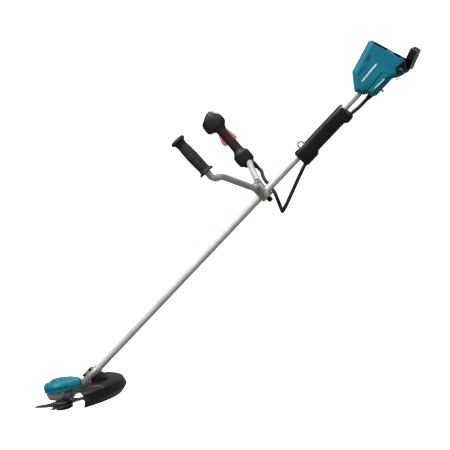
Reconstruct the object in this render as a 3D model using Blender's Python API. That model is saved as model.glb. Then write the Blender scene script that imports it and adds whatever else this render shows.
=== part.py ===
"""Battery brush cutter with a front motor, a U handlebar and two battery bays.

World frame: metres, +Z up, the tool as it hangs from its harness, cutting head low and in front.
+X runs from the cutting head towards the battery end, +Y to the operator's right.
The origin is the centre of the harness loop's eye.

Four design frames keep the numbers simple.  Their sizes are in millimetres:
  shaft - x rearwards along the main tube, z up across it, origin on the tube at the handlebar clamp
  head  - origin at the blade's centre, z up the spindle, x rearwards in the blade's plane
  bay   - x out of the rear face of the battery housing, z up along that face
  grip  - z up the right grip of the handlebar, x rearwards, origin where the grip starts
"""
import math

import bmesh
import bpy
from mathutils import Matrix, Vector

MM = 0.001          # the design numbers below are millimetres
GAP = 0.3           # clearance kept between neighbouring pieces

# ---- driving dimensions -------------------------------------------------------------------
SHAFT_TILT = 47.0           # slope of the main tube, degrees
HEAD_TILT = 35.0            # blade plane against the main tube, degrees
BAY_TILT = 15.5             # rear face normal of the battery housing against the main tube, degrees
EYE = (212.0, 0.0, 21.0)    # harness eye in the shaft frame
HEAD_CENTRE = (-1046.0, 0.0, 7.0)

TUBE_RADIUS = 12.0
TUBE_WALL = 1.5
TUBE_FRONT = -925.0
TUBE_REAR = 508.0

BLADE_RADIUS = 115.0
BLADE_THICKNESS = 1.8
BLADE_TEETH = 4
PILOT_RADIUS = 12.4
SPINDLE_RADIUS = 5.0
ROTOR_SHAFT_RADIUS = 7.7
MOTOR_RADIUS = 50.0
MOTOR_FLOOR = 17.0
MOTOR_SPLIT = 46.5
MOTOR_TOP = 80.0
NECK_RADIUS = 16.5
NECK_FRONT = -940.0
NECK_REAR = -862.0
NECK_BOLTS = (-912.0, -884.0)
NECK_BOLT_HEIGHT = 18.5

BAR_RADIUS = 11.0
BAR_WALL = 1.5
BAR_CENTRE = (5.0, 0.0, 33.0)
RIGHT_FOOT = (-11.0, 247.0, 160.0)     # where the straight right end of the bar starts
RIGHT_HEAD = (-2.0, 262.0, 300.0)      # a point higher up on the same straight end
LEFT_FOOT = (-18.0, -244.0, 160.0)
LEFT_HEAD = (-9.0, -258.0, 300.0)
CLAMP_REACH = (18.6, 20.0)             # half length and half width of the handlebar clamp
CLAMP_BOLTS = (14.4, 15.6)             # their distance from the bar's and the tube's middle
KNOB_RADIUS = 9.0

TRIGGER_PIVOT = (-8.5, 116.0)          # x and z in the right grip's frame
LEVER_PIVOT = (9.0, 117.0)
PANEL_CENTRE = (25.0, 0.0, 186.5)      # middle of the button panel in the right grip's frame
PANEL_TILT = 30.6

SLEEVE_FRONT = 178.0
SLEEVE_REAR = 402.0
CABLE_RADIUS = 6.5
CABLE_ROUTE = [(-6.5, 254, 125), (-5.5, 252.5, 101), (-5.1, 251.9, 92), (-2, 238, 79), (0, 208, 68), (5, 166, 55),
               (10, 126, 38), (14, 101, 14), (12, 89, -15), (3, 85, -40), (-7, 84, -62), (-11, 77, -76),
               (-9, 58, -83), (4, 38, -83), (28, 27, -78), (85, 18, -60), (140, 6, -43), (178, 0, -32.5),
               (208, 0, -27), (240, 0, -24), (300, 0, -23.5), (360, 0, -24.5), (402, 0, -28.5),
               (436, 0, -32.4), (460, 0, -33), (480, 0, -33), (500, 0, -33)]

HOUSING_CORNER = (621.0, 0.0, 91.5)     # top of the rear face in the shaft frame
HOUSING_OUTLINE = [(621, 91.5), (510, 61.7), (477.5, 23.3), (468.5, 11.3), (483, -20.7), (492, -23), (500, -46.5),
                   (578, -45.3), (604, -61.5), (640, -67), (658.1, -42.4)]
HOUSING_HALF_WIDTH = 46.0
GUARD_HALF_WIDTH = 50.0
BAY_HALF_WIDTH = 39.0
BAY_DEPTH = 94.0
UPPER_BAY = (-66.5, -15.0)              # low and high edge of its mouth, down the rear face
LOWER_BAY = (-136.0, -90.5)

FINISHES = {
    "teal": ((0.0, 0.16, 0.23), 0.38, 0.0),
    "black_plastic": ((0.017, 0.017, 0.018), 0.5, 0.0),
    "black_rubber": ((0.012, 0.012, 0.012), 0.8, 0.0),
    "red_plastic": ((0.58, 0.10, 0.09), 0.45, 0.0),
    "tube_silver": ((0.58, 0.57, 0.53), 0.38, 0.75),
    "bar_silver": ((0.45, 0.45, 0.45), 0.42, 0.75),
    "cast_aluminium": ((0.48, 0.46, 0.43), 0.5, 0.8),
    "blade_steel": ((0.05, 0.045, 0.04), 0.42, 0.8),
    "bright_steel": ((0.6, 0.6, 0.6), 0.3, 1.0),
    "dark_steel": ((0.04, 0.04, 0.04), 0.45, 0.9),
    "copper": ((0.55, 0.25, 0.1), 0.4, 0.9),
    "circuit_green": ((0.02, 0.12, 0.04), 0.5, 0.0),
    "grey_panel": ((0.35, 0.36, 0.37), 0.5, 0.0),
}


# ---- helpers ------------------------------------------------------------------------------
def clear_scene():
    for item in list(bpy.data.objects):
        bpy.data.objects.remove(item, do_unlink=True)


def finish_material(node_name, finish):
    """A Principled material of the piece's own."""
    colour, roughness, metallic = FINISHES[finish]
    made = bpy.data.materials.new(node_name + "_" + finish)
    made.use_nodes = True
    shader = made.node_tree.nodes["Principled BSDF"]
    shader.inputs["Base Color"].default_value = (*colour, 1.0)
    shader.inputs["Roughness"].default_value = roughness
    shader.inputs["Metallic"].default_value = metallic
    return made


def design_frame(name, parent, place, tilt):
    """An empty at a place in millimetres, turned about +Y so that its x axis rises by tilt."""
    empty = bpy.data.objects.new(name, None)
    bpy.context.scene.collection.objects.link(empty)
    empty.parent = parent
    empty.location = Vector(place) * MM
    empty.rotation_euler = (0.0, -math.radians(tilt), 0.0)
    return empty


def link_mesh(name, bm, frame, place=(0.0, 0.0, 0.0)):
    """Turn a millimetre bmesh into a metre object in a design frame, with its origin at place."""
    bmesh.ops.remove_doubles(bm, verts=bm.verts, dist=0.001)
    bmesh.ops.recalc_face_normals(bm, faces=bm.faces)
    bmesh.ops.translate(bm, verts=bm.verts, vec=-Vector(place))
    bmesh.ops.scale(bm, verts=bm.verts, vec=(MM, MM, MM))
    mesh = bpy.data.meshes.new(name)
    bm.to_mesh(mesh)
    bm.free()
    made = bpy.data.objects.new(name, mesh)
    bpy.context.scene.collection.objects.link(made)
    made.parent = frame
    made.location = Vector(place) * MM
    return made


def part(name, bm, frame, finish, place=(0.0, 0.0, 0.0), flat=False):
    """A finished sub-part with its own material."""
    made = link_mesh(name, bm, frame, place)
    made.data.materials.append(finish_material(name, finish))
    if not flat:
        made.data.shade_smooth()
        made.data.set_sharp_from_angle(angle=math.radians(35))
    return made


def guide(name, bm, frame):
    """A hidden solid that a Boolean uses."""
    made = link_mesh(name, bm, frame)
    made.hide_render = True
    made.display_type = 'WIRE'
    return made


def boolean(target, operation, other):
    step = target.modifiers.new(operation.lower() + "_" + other.name, 'BOOLEAN')
    step.operation = operation
    step.object = other
    step.solver = 'EXACT'


def cut(target, *cutters):
    for cutter in cutters:
        boolean(target, 'DIFFERENCE', cutter)


def merged(name, *shapes):
    """Several bmeshes as one, for cutters that don't touch each other."""
    result = bmesh.new()
    for shape in shapes:
        carrier = bpy.data.meshes.new(name)
        shape.to_mesh(carrier)
        shape.free()
        result.from_mesh(carrier)
        bpy.data.meshes.remove(carrier)
    return result


def block(low, high):
    bm = bmesh.new()
    bmesh.ops.create_cube(bm, size=1.0)
    low, high = Vector(low), Vector(high)
    bmesh.ops.scale(bm, verts=bm.verts, vec=high - low)
    bmesh.ops.translate(bm, verts=bm.verts, vec=(low + high) / 2)
    return bm


def axis_turn(direction):
    """The rotation that takes +Z to a direction."""
    return Vector((0, 0, 1)).rotation_difference(Vector(direction)).to_matrix().to_4x4()


def turned(profile, sides=32, place=(0, 0, 0), direction=(0, 0, 1)):
    """A closed ring of (radius, height) corners, or a run that starts and ends on the axis, spun round."""
    bm = bmesh.new()
    corners = [bm.verts.new((radius, 0.0, height)) for radius, height in profile]
    on_axis = profile[0][0] == 0 and profile[-1][0] == 0
    pairs = list(zip(corners, corners[1:]))
    if not on_axis:
        pairs.append((corners[-1], corners[0]))
    edges = [bm.edges.new(pair) for pair in pairs]
    bmesh.ops.spin(bm, geom=corners + edges, cent=(0, 0, 0), axis=(0, 0, 1), dvec=(0, 0, 0),
                   angle=2 * math.pi, steps=sides, use_merge=True)
    bmesh.ops.remove_doubles(bm, verts=bm.verts, dist=0.001)
    bmesh.ops.transform(bm, matrix=Matrix.Translation(place) @ axis_turn(direction), verts=bm.verts)
    return bm


def rod(start, end, radius, sides=16):
    """A plain cylinder between two points."""
    start, end = Vector(start), Vector(end)
    bm = bmesh.new()
    bmesh.ops.create_cone(bm, cap_ends=True, segments=sides, radius1=radius, radius2=radius,
                          depth=(end - start).length)
    turn = Matrix.Translation((start + end) / 2) @ axis_turn(end - start)
    bmesh.ops.transform(bm, matrix=turn, verts=bm.verts)
    return bm


def pipe(start, end, outer, inner, sides=24):
    start, end = Vector(start), Vector(end)
    length = (end - start).length
    ring = [(outer, length), (outer, 0), (inner, 0), (inner, length)]
    return turned(ring, sides, start, end - start)


def prism(outline, low, high):
    """An outline in x and z, extruded along y from low to high."""
    bm = bmesh.new()
    face = bm.faces.new([bm.verts.new((x, low, z)) for x, z in outline])
    grown = bmesh.ops.extrude_face_region(bm, geom=[face])["geom"]
    moved = [item for item in grown if isinstance(item, bmesh.types.BMVert)]
    bmesh.ops.translate(bm, verts=moved, vec=(0, high - low, 0))
    bmesh.ops.recalc_face_normals(bm, faces=bm.faces)
    return bm


def plate(outline, low, high):
    """An outline in x and y, extruded along z from low to high."""
    bm = bmesh.new()
    face = bm.faces.new([bm.verts.new((x, y, low)) for x, y in outline])
    grown = bmesh.ops.extrude_face_region(bm, geom=[face])["geom"]
    moved = [item for item in grown if isinstance(item, bmesh.types.BMVert)]
    bmesh.ops.translate(bm, verts=moved, vec=(0, 0, high - low))
    return bm


def rounded(outline, radius, steps=3):
    """Replace each corner of a closed outline with an arc of about the given radius."""
    result = []
    count = len(outline)
    for index in range(count):
        here = Vector(outline[index])
        before = Vector(outline[index - 1]) - here
        after = Vector(outline[(index + 1) % count]) - here
        reach = min(radius, before.length * 0.45, after.length * 0.45)
        start = here + before.normalized() * reach
        end = here + after.normalized() * reach
        for step in range(steps + 1):
            t = step / steps
            result.append(tuple(start * (1 - t) ** 2 + here * 2 * t * (1 - t) + end * t ** 2))
    return result


def loft(rings):
    """A closed skin through rings of equal vertex count, capped at both ends."""
    bm = bmesh.new()
    loops = [[bm.verts.new(point) for point in ring] for ring in rings]
    for lower, upper in zip(loops, loops[1:]):
        for index in range(len(lower)):
            after = (index + 1) % len(lower)
            bm.faces.new((lower[index], lower[after], upper[after], upper[index]))
    bm.faces.new(list(reversed(loops[0])))
    bm.faces.new(loops[-1])
    return bm


def smooth_route(points, spacing):
    """Points at an even spacing along a smooth curve through the given ones (centripetal-like)."""
    corners = [Vector(p) for p in points]
    padded = [2 * corners[0] - corners[1]] + corners + [2 * corners[-1] - corners[-2]]
    fine = []
    for a, b, c, d in zip(padded, padded[1:], padded[2:], padded[3:]):
        for step in range(24):
            t = step / 24
            fine.append(0.5 * ((2 * b) + (c - a) * t + (2 * a - 5 * b + 4 * c - d) * t ** 2
                               + (3 * b - a - 3 * c + d) * t ** 3))
    fine.append(corners[-1])
    total = sum((q - p).length for p, q in zip(fine, fine[1:]))
    wanted = total / max(1, round(total / spacing))
    result, travelled = [fine[0]], 0.0
    for p, q in zip(fine, fine[1:]):
        travelled += (q - p).length
        if travelled >= wanted * len(result) - 1e-6:
            result.append(q)
    result[-1] = fine[-1]
    return result


def swept(route, outer, inner=0.0, sides=16):
    """A round bar or, with an inner radius, an open tube along a route."""
    rings_out, rings_in = [], []
    normal = None
    for index, here in enumerate(route):
        before = route[max(index - 1, 0)]
        after = route[min(index + 1, len(route) - 1)]
        tangent = (after - before).normalized()
        if normal is None:
            normal = tangent.orthogonal().normalized()
        normal = (normal - tangent * normal.dot(tangent)).normalized()
        side = tangent.cross(normal)
        turn = [(math.cos(2 * math.pi * k / sides), math.sin(2 * math.pi * k / sides)) for k in range(sides)]
        rings_out.append([here + (normal * c + side * s) * outer for c, s in turn])
        rings_in.append([here + (normal * c + side * s) * inner for c, s in turn])
    if not inner:
        return loft(rings_out)
    bm = bmesh.new()
    loops = rings_out + rings_in[::-1]
    loops = [[bm.verts.new(point) for point in ring] for ring in loops]
    for lower, upper in zip(loops, loops[1:] + loops[:1]):
        for index in range(sides):
            after = (index + 1) % sides
            bm.faces.new((lower[index], lower[after], upper[after], upper[index]))
    return bm


def circle_points(centre, radius, count, start=0.0, sweep=360.0):
    angles = [math.radians(start + sweep * k / count) for k in range(count)]
    return [(centre[0] + radius * math.cos(a), centre[1] + radius * math.sin(a)) for a in angles]


def screw_shape(place, direction, head_radius, head_height, shank_radius, shank_length, sides=10):
    """A cap screw: place is under its head, and direction points out of the head."""
    profile = [(0, head_height), (head_radius * 0.85, head_height), (head_radius, head_height * 0.8),
               (head_radius, 0), (shank_radius, 0), (shank_radius, -shank_length), (0, -shank_length)]
    return turned(profile, sides, place, direction)


# ---- cutting head -------------------------------------------------------------------------
def blade_outline():
    """Brush blade: each tooth has a straight cutting edge and a curved back."""
    root, pitch, first = 62.0, 360.0 / BLADE_TEETH, 168.0
    outline = []
    for tooth in range(BLADE_TEETH):
        angle = first + tooth * pitch
        corners = [(root, -8), (root + 12, 1), (BLADE_RADIUS * 0.93, 6), (BLADE_RADIUS, 12),
                   (BLADE_RADIUS * 0.96, 18), (BLADE_RADIUS * 0.82, 30), (root + 16, 46), (root + 3, 64)]
        for radius, turn in corners:
            a = math.radians(angle + turn)
            outline.append((radius * math.cos(a), radius * math.sin(a)))
    return outline


def make_cutting_set(head):
    half = BLADE_THICKNESS / 2
    blade = part("blade", plate(blade_outline(), -half, half), head, "blade_steel", flat=True)
    cut(blade, guide("blade_bore", rod((0, 0, -5), (0, 0, 5), PILOT_RADIUS + 2 * GAP, 24), head))

    bore = SPINDLE_RADIUS + GAP
    shoulder = 12.0
    spindle = [(0, 66), (ROTOR_SHAFT_RADIUS, 66), (ROTOR_SHAFT_RADIUS, shoulder + GAP),
               (SPINDLE_RADIUS, shoulder + GAP), (SPINDLE_RADIUS, -20), (0, -20)]
    part("spindle", turned(spindle, 16), head, "bright_steel")
    flange = [(24, shoulder), (31, 5), (31, half + GAP), (PILOT_RADIUS, half + GAP),
              (PILOT_RADIUS, -half), (bore, -half), (bore, shoulder)]
    part("blade_flange", turned(flange, 24), head, "bright_steel")
    washer = [(22, -half - GAP), (24, -3), (24, -6), (bore, -6), (bore, -half - GAP)]
    part("clamp_washer", turned(washer, 20), head, "dark_steel")
    cup = [(24, -6.3), (30, -8.5), (32, -14), (30, -20), (25, -23), (16, -23), (16, -21), (25, -20),
           (29, -14), (26, -9), (bore, -9), (bore, -6.3)]
    part("support_cup", turned(cup, 24), head, "black_plastic")
    nut = part("blade_nut", turned([(9.8, -9.3), (9.8, -18), (bore, -18), (bore, -9.3)], 6), head,
               "bright_steel", flat=True)
    cut(nut, guide("nut_bore", rod((0, 0, -30), (0, 0, 0), bore, 14), head))


def lobed_ring(radius, height, bosses, growth, count=45):
    """A circle that swells at each screw boss."""
    ring = []
    for step in range(count):
        angle = 2 * math.pi * step / count
        swell = 0.0
        for boss in bosses:
            away = math.atan2(math.sin(angle - boss), math.cos(angle - boss))
            swell = max(swell, math.exp(-(away / 0.13) ** 2))
        reach = radius + growth * swell
        ring.append((reach * math.cos(angle), reach * math.sin(angle), height))
    return ring


def make_motor(head, shaft):
    bosses = [math.radians(a) for a in (60, 125, 180, 235, 300)]
    shell = [lobed_ring(38, MOTOR_FLOOR, bosses, 0), lobed_ring(46, MOTOR_FLOOR + 4, bosses, 0),
             lobed_ring(MOTOR_RADIUS, MOTOR_FLOOR + 13, bosses, 5), lobed_ring(MOTOR_RADIUS, MOTOR_SPLIT, bosses, 5)]
    base = part("motor_base", loft(shell), head, "cast_aluminium")
    arm = prism([(36, 22), (60, 24), (104, 40), (126, 58), (108, 75), (84, MOTOR_SPLIT), (36, MOTOR_SPLIT)], -14, 14)
    boolean(base, 'UNION', guide("neck_arm", arm, head))
    boolean(base, 'UNION', guide("neck_socket", rod((NECK_FRONT, 0, 0), (NECK_REAR, 0, 0), NECK_RADIUS, 28), shaft))
    boolean(base, 'UNION', guide("neck_ears", block((NECK_BOLTS[0] - 8, -8, 8), (NECK_BOLTS[1] + 8, 8, 24)), shaft))
    hollow = turned([(0, 60), (45.6, 60), (45.6, 23), (21, 21), (21, 28), (0, 28)], 32)
    cut(base, guide("motor_hollow", hollow, head),
        guide("lower_seat", turned([(0, 40), (16.3, 40), (16.3, 20), (12, 20), (12, 5), (0, 5)], 20), head),
        guide("tube_socket", rod((TUBE_FRONT - GAP, 0, 0), (0, 0, 0), TUBE_RADIUS + GAP, 24), shaft),
        guide("lead_channel", rod((-998, 0, 0), (-900, 0, 0), 5.5, 12), shaft),
        guide("neck_slit", block((NECK_FRONT + 12, -1, 2), (NECK_REAR + 5, 1, 40)), shaft),
        guide("cap_room", block((40, -40, MOTOR_SPLIT), (88.5, 40, 110)), head))
    for index, x in enumerate(NECK_BOLTS):
        hole = guide("neck_bolt_hole_%d" % index, rod((x, -30, NECK_BOLT_HEIGHT), (x, 30, NECK_BOLT_HEIGHT), 3.2), shaft)
        cut(base, hole)
        screw = screw_shape((x, -8 - GAP, NECK_BOLT_HEIGHT), (0, -1, 0), 4.6, 4, 2.9, 15)
        part("neck_bolt_%s" % ("front", "rear")[index], screw, shaft, "dark_steel")

    levels = [(MOTOR_SPLIT + GAP, 0), (66, 0), (73, 2.5), (78, 8), (MOTOR_TOP + 2, 20), (88, 38)]
    cap = part("motor_cap", loft([cap_ring(inset, z) for z, inset in levels]), head, "teal")
    inside = [(MOTOR_SPLIT - 4, 3), (65, 3), (71, 5.5), (75.5, 11), (MOTOR_TOP - 1, 23)]
    hollow = guide("cap_hollow", loft([cap_ring(inset, z) for z, inset in inside]), head)
    cut(cap, hollow)
    boolean(cap, 'UNION', guide("upper_seat_hub", rod((0, 0, 57), (0, 0, MOTOR_TOP), 20, 20), head))
    cut(cap, guide("upper_seat", rod((0, 0, 50), (0, 0, 66.5), 16.3, 20), head))

    bearing = [(16, 8.7), (16, 0), (ROTOR_SHAFT_RADIUS + GAP, 0), (ROTOR_SHAFT_RADIUS + GAP, 8.7)]
    part("lower_bearing", turned(bearing, 18, (0, 0, 20.3)), head, "bright_steel")
    part("upper_bearing", turned(bearing, 18, (0, 0, 57.5)), head, "bright_steel")
    part("stator", turned([(45, 54), (45, 31), (24, 31), (24, 54)], 28), head, "copper")
    part("rotor", turned([(23, 53), (23, 32), (ROTOR_SHAFT_RADIUS + GAP, 32), (ROTOR_SHAFT_RADIUS + GAP, 53)], 28),
         head, "dark_steel")


def cap_ring(inset, height, count=36):
    """Ring round the motor with a lobe towards the neck: two circles and their common tangents."""
    big, small, reach = 57.0 - inset, 24.0 - inset * 0.45, 61.0 - inset * 0.55
    lean = math.acos((big - small) / reach)
    ring = []
    for step in range(count):
        angle = 2 * math.pi * (step + 0.5) / count
        if angle > math.pi:
            angle -= 2 * math.pi
        if abs(angle) > lean:
            ring.append((big * math.cos(angle), big * math.sin(angle), height))
        else:
            centre_x, radius = reach, small
            side = math.copysign(1, angle)
            portion = abs(angle) / lean
            turn = side * min(1.0, portion / 0.6) * lean
            if portion <= 0.6:
                ring.append((centre_x + radius * math.cos(turn), radius * math.sin(turn), height))
            else:
                along = (portion - 0.6) / 0.4
                start = Vector((centre_x + radius * math.cos(turn), radius * math.sin(turn)))
                end = Vector((big * math.cos(turn), big * math.sin(turn)))
                spot = start.lerp(end, along)
                ring.append((spot.x, spot.y, height))
    return ring


def make_guard(head, shaft):
    profile = [(106, 60), (172, 60), (200, 58), (224, 49), (233, 22), (213, 0), (209, 0), (228.5, 21.5),
               (220, 46), (199, 55), (172, 57), (106, 57)]
    sweep, steps = 100.0, 16
    rings = []
    for step in range(steps + 1):
        angle = math.radians(-sweep / 2 + sweep * step / steps)
        rings.append([(r * math.cos(angle), r * math.sin(angle), z) for r, z in profile])
    guard = part("blade_guard", loft(rings), head, "black_plastic")
    cut(guard, guide("guard_neck_room", block((90, -19, 40), (131, 19, 80)), head))
    slope = [(131, 60 + GAP), (176, 60 + GAP), (176, 66), (160, 84), (131, 75)]
    bracket = part("guard_bracket", prism(slope, -24, 24), head, "black_plastic")
    cut(bracket, guide("bracket_saddle", rod((NECK_FRONT - 20, 0, 0), (-800, 0, 0), NECK_RADIUS + GAP, 28), shaft))
    for side, y in (("left", -16.0), ("right", 16.0)):
        hole = guide("guard_bolt_hole_" + side, rod((166, y, 50), (166, y, 64), 3.3, 12), head)
        cut(guard, hole)
        cut(bracket, hole)
        bolt = screw_shape((166, y, 54.6), (0, 0, -1), 5.5, 4, 3, 8)
        part("guard_bolt_" + side, bolt, head, "dark_steel")


# ---- tube, sleeve and hanger ----------------------------------------------------------------
def make_tube(shaft):
    part("main_tube", pipe((TUBE_FRONT, 0, 0), (TUBE_REAR, 0, 0), TUBE_RADIUS, TUBE_RADIUS - TUBE_WALL, 28),
         shaft, "tube_silver")
    part("motor_lead", rod((NECK_FRONT + 6, 0, 0), (TUBE_REAR + 5, 0, 0), 3.5, 10), shaft, "black_rubber")


def sleeve_ring(x, half_width, top, bottom, count=20):
    """A squarish oval section across the tube."""
    middle, half_height = (top + bottom) / 2, (top - bottom) / 2
    ring = []
    for step in range(count):
        angle = 2 * math.pi * (step + 0.5) / count
        c, s = math.cos(angle), math.sin(angle)
        power = 0.72
        y = half_width * math.copysign(abs(c) ** power, c)
        z = middle + half_height * math.copysign(abs(s) ** power, s)
        ring.append((x, y, z))
    return ring


def make_sleeve(shaft):
    """Two half shells round the tube, which also carry the cable underneath it."""
    sections = [(SLEEVE_FRONT, 23, 18, -42), (184, 24, 19, -43), (228, 24, 19, -43), (240, 23, 19, -34),
                (364, 23, 19, -34), (376, 24, 19, -43), (396, 24, 19, -42), (SLEEVE_REAR, 23, 18, -38)]
    rings = [sleeve_ring(*section) for section in sections]
    tube_room = guide("sleeve_tube_room", rod((100, 0, 0), (450, 0, 0), TUBE_RADIUS + GAP, 24), shaft)
    inside = [(140, 0, -41)] + [point for point in CABLE_ROUTE if 150 < point[0] < 460]
    channel = swept(smooth_route(inside, 34), CABLE_RADIUS + 1.2, sides=12)
    cable_room = guide("sleeve_cable_room", channel, shaft)
    window = guide("sleeve_window", block((194, -16, 3), (240, 16, 40)), shaft)
    for name, low, high in (("left", -60, -GAP / 2), ("right", GAP / 2, 60)):
        half = part("sleeve_" + name, loft(rings), shaft, "black_plastic")
        keep = guide("sleeve_keep_" + name, block((100, low, -80), (450, high, 80)), shaft)
        boolean(half, 'INTERSECT', keep)
        cut(half, tube_room, cable_room, window)


def arch(centre, radius, start, sweep, steps=15):
    """Points along an arc in the x-z plane, angles in degrees from +x."""
    angles = [math.radians(start + sweep * step / steps) for step in range(steps + 1)]
    return [Vector((centre[0] + radius * math.cos(a), centre[1], centre[2] + radius * math.sin(a))) for a in angles]


def make_hanger(shaft):
    """A clamp band round the tube with the harness eye welded on top."""
    band = part("harness_hanger", pipe((196, 0, 0), (238, 0, 0), 14.5, TUBE_RADIUS + GAP, 28), shaft, "dark_steel")
    cut(band, guide("band_gap", block((190, -30, -40), (245, 30, 3.5)), shaft))
    wire = swept(arch(EYE, 10.7, -42, 264), 2.3, sides=8)
    boolean(band, 'UNION', guide("eye_wire", wire, shaft))
    cut(band, guide("eye_trim", rod((190, 0, 0), (245, 0, 0), TUBE_RADIUS + GAP, 28), shaft),
        guide("hanger_bolt_hole", rod((231, 0, 5), (231, 0, 30), 2.9, 12), shaft))
    bolt = screw_shape((231, 0, 14.5 + GAP), (0, 0, 1), 5, 4.5, 2.6, 2.2)
    part("hanger_bolt", bolt, shaft, "dark_steel")


# ---- handlebar and its clamp ----------------------------------------------------------------
def bar_route():
    """The U bar from the left end to the right end, which stops under the switchgear."""
    rise = [(5, 26, 33), (5, 40, 33), (4.3, 55, 38), (-1, 130, 83)]
    right = rise + [(-3, 187, 116), (-5, 214, 125), (-8.5, 232, 127)]
    left = rise + [(-5, 186, 116), (-9, 212, 125), (-14, 230, 127)]
    left = [(x, -y, z) for x, y, z in left]
    for arm, foot, head, reach in ((right, RIGHT_FOOT, RIGHT_HEAD, 54), (left, LEFT_FOOT, LEFT_HEAD, 134)):
        foot = Vector(foot)
        up = (Vector(head) - foot).normalized()
        arm.extend(foot + up * along for along in (-20, -5, 40, reach))
    return smooth_route(left[::-1] + [(5, 0, 33)] + right, 24)


def make_clamp(shaft):
    reach_x, reach_y = CLAMP_REACH
    bar_x, bar_z = BAR_CENTRE[0], BAR_CENTRE[2]
    tube_saddle = guide("clamp_tube_saddle", rod((-60, 0, 0), (60, 0, 0), TUBE_RADIUS + GAP, 28), shaft)
    bar_saddle = guide("clamp_bar_saddle", rod((bar_x, -60, bar_z), (bar_x, 60, bar_z), BAR_RADIUS + GAP, 24), shaft)
    stud_hole = guide("clamp_stud_hole", rod((bar_x, 0, -40), (bar_x, 0, 0), 4.3, 12), shaft)
    spots = [(bar_x + sx * CLAMP_BOLTS[0], sy * CLAMP_BOLTS[1]) for sx in (-1, 1) for sy in (-1, 1)]
    holes = [guide("clamp_bolt_hole_%d" % n, rod((x, y, -60), (x, y, 80), 2.4, 10), shaft)
             for n, (x, y) in enumerate(spots)]
    levels = {"clamp_base": (-20.0, -GAP / 2, [tube_saddle, stud_hole]),
              "clamp_middle": (GAP / 2, bar_z - GAP / 2, [tube_saddle, bar_saddle]),
              "clamp_cap": (bar_z + GAP / 2, 49.0, [bar_saddle])}
    for name, (low, high, saddles) in levels.items():
        bm = block((bar_x - reach_x, -reach_y, low), (bar_x + reach_x, reach_y, high))
        corners = [e for e in bm.edges if abs((e.verts[0].co - e.verts[1].co).z) > 1]
        bmesh.ops.bevel(bm, geom=corners, offset=5, segments=3, profile=0.5, affect='EDGES')
        piece = part(name, bm, shaft, "cast_aluminium")
        cut(piece, *saddles, *holes)
    for n, (x, y) in enumerate(spots, 1):
        part("clamp_bolt_%d" % n, screw_shape((x, y, 49 + GAP), (0, 0, 1), 3.6, 4, 2.1, 60), shaft, "dark_steel")
    knob = [(0, -20 - GAP), (KNOB_RADIUS - 4, -20 - GAP), (KNOB_RADIUS, -24), (KNOB_RADIUS, -33),
            (KNOB_RADIUS - 3, -36), (0, -36)]
    grip = turned([(0, -12 - 2 * GAP), (4, -12 - 2 * GAP), (4, -20 - GAP)] + knob[1:], 18)
    bmesh.ops.translate(grip, verts=grip.verts, vec=(bar_x, 0, 0))
    knob = part("clamp_knob", grip, shaft, "black_plastic", place=(bar_x, 0, 0))
    flutes = [rod((bar_x + x, y, -50), (bar_x + x, y, -10), 3.2, 8)
              for x, y in circle_points((0, 0), KNOB_RADIUS + 1.4, 6, 30)]
    cut(knob, guide("knob_flutes", merged("flutes", *flutes), shaft))


def make_handlebar(shaft):
    part("handlebar", swept(bar_route(), BAR_RADIUS, BAR_RADIUS - BAR_WALL, 12), shaft, "bar_silver")
    clip = part("bar_clip", pipe((5, 27, 33), (5, 31.5, 33), 14.5, BAR_RADIUS + 2 * GAP, 20), shaft, "black_plastic")
    cut(clip, guide("clip_opening", block((-10, 20, 40), (20, 40, 60)), shaft))


def axis_frame(name, parent, foot, tip):
    """An empty at foot with +Z towards tip and +X as near the tube's direction as it can be."""
    up = (Vector(tip) - Vector(foot)).normalized()
    ahead = (Vector((1, 0, 0)) - up * up.x).normalized()
    across = up.cross(ahead)
    empty = bpy.data.objects.new(name, None)
    bpy.context.scene.collection.objects.link(empty)
    empty.parent = parent
    turn = Matrix((ahead, across, up)).transposed().to_4x4()
    empty.matrix_local = Matrix.Translation(Vector(foot) * MM) @ turn
    return empty


def make_left_grip(frame):
    """Rubber grip with a flange at each end."""
    bore = BAR_RADIUS + 2 * GAP
    profile = [(0, 147), (18, 147), (25, 143), (26.5, 138), (24, 133), (20, 125), (18.5, 112), (20, 70),
               (18.5, 24), (20, 14), (25.5, 7), (27, 3.5), (25, 0), (bore, 0), (bore, 136), (0, 136)]
    part("left_grip", turned(profile, 18), frame, "black_rubber")


def grip_section(z, front, rear, half_depth, count=18):
    """Rounded section across the grip."""
    middle, half = (front + rear) / 2, (rear - front) / 2
    ring = []
    for step in range(count):
        angle = 2 * math.pi * (step + 0.5) / count
        c, s = math.cos(angle), math.sin(angle)
        ring.append((middle + half * math.copysign(abs(c) ** 0.75, c),
                     half_depth * math.copysign(abs(s) ** 0.75, s), z))
    return ring


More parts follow.
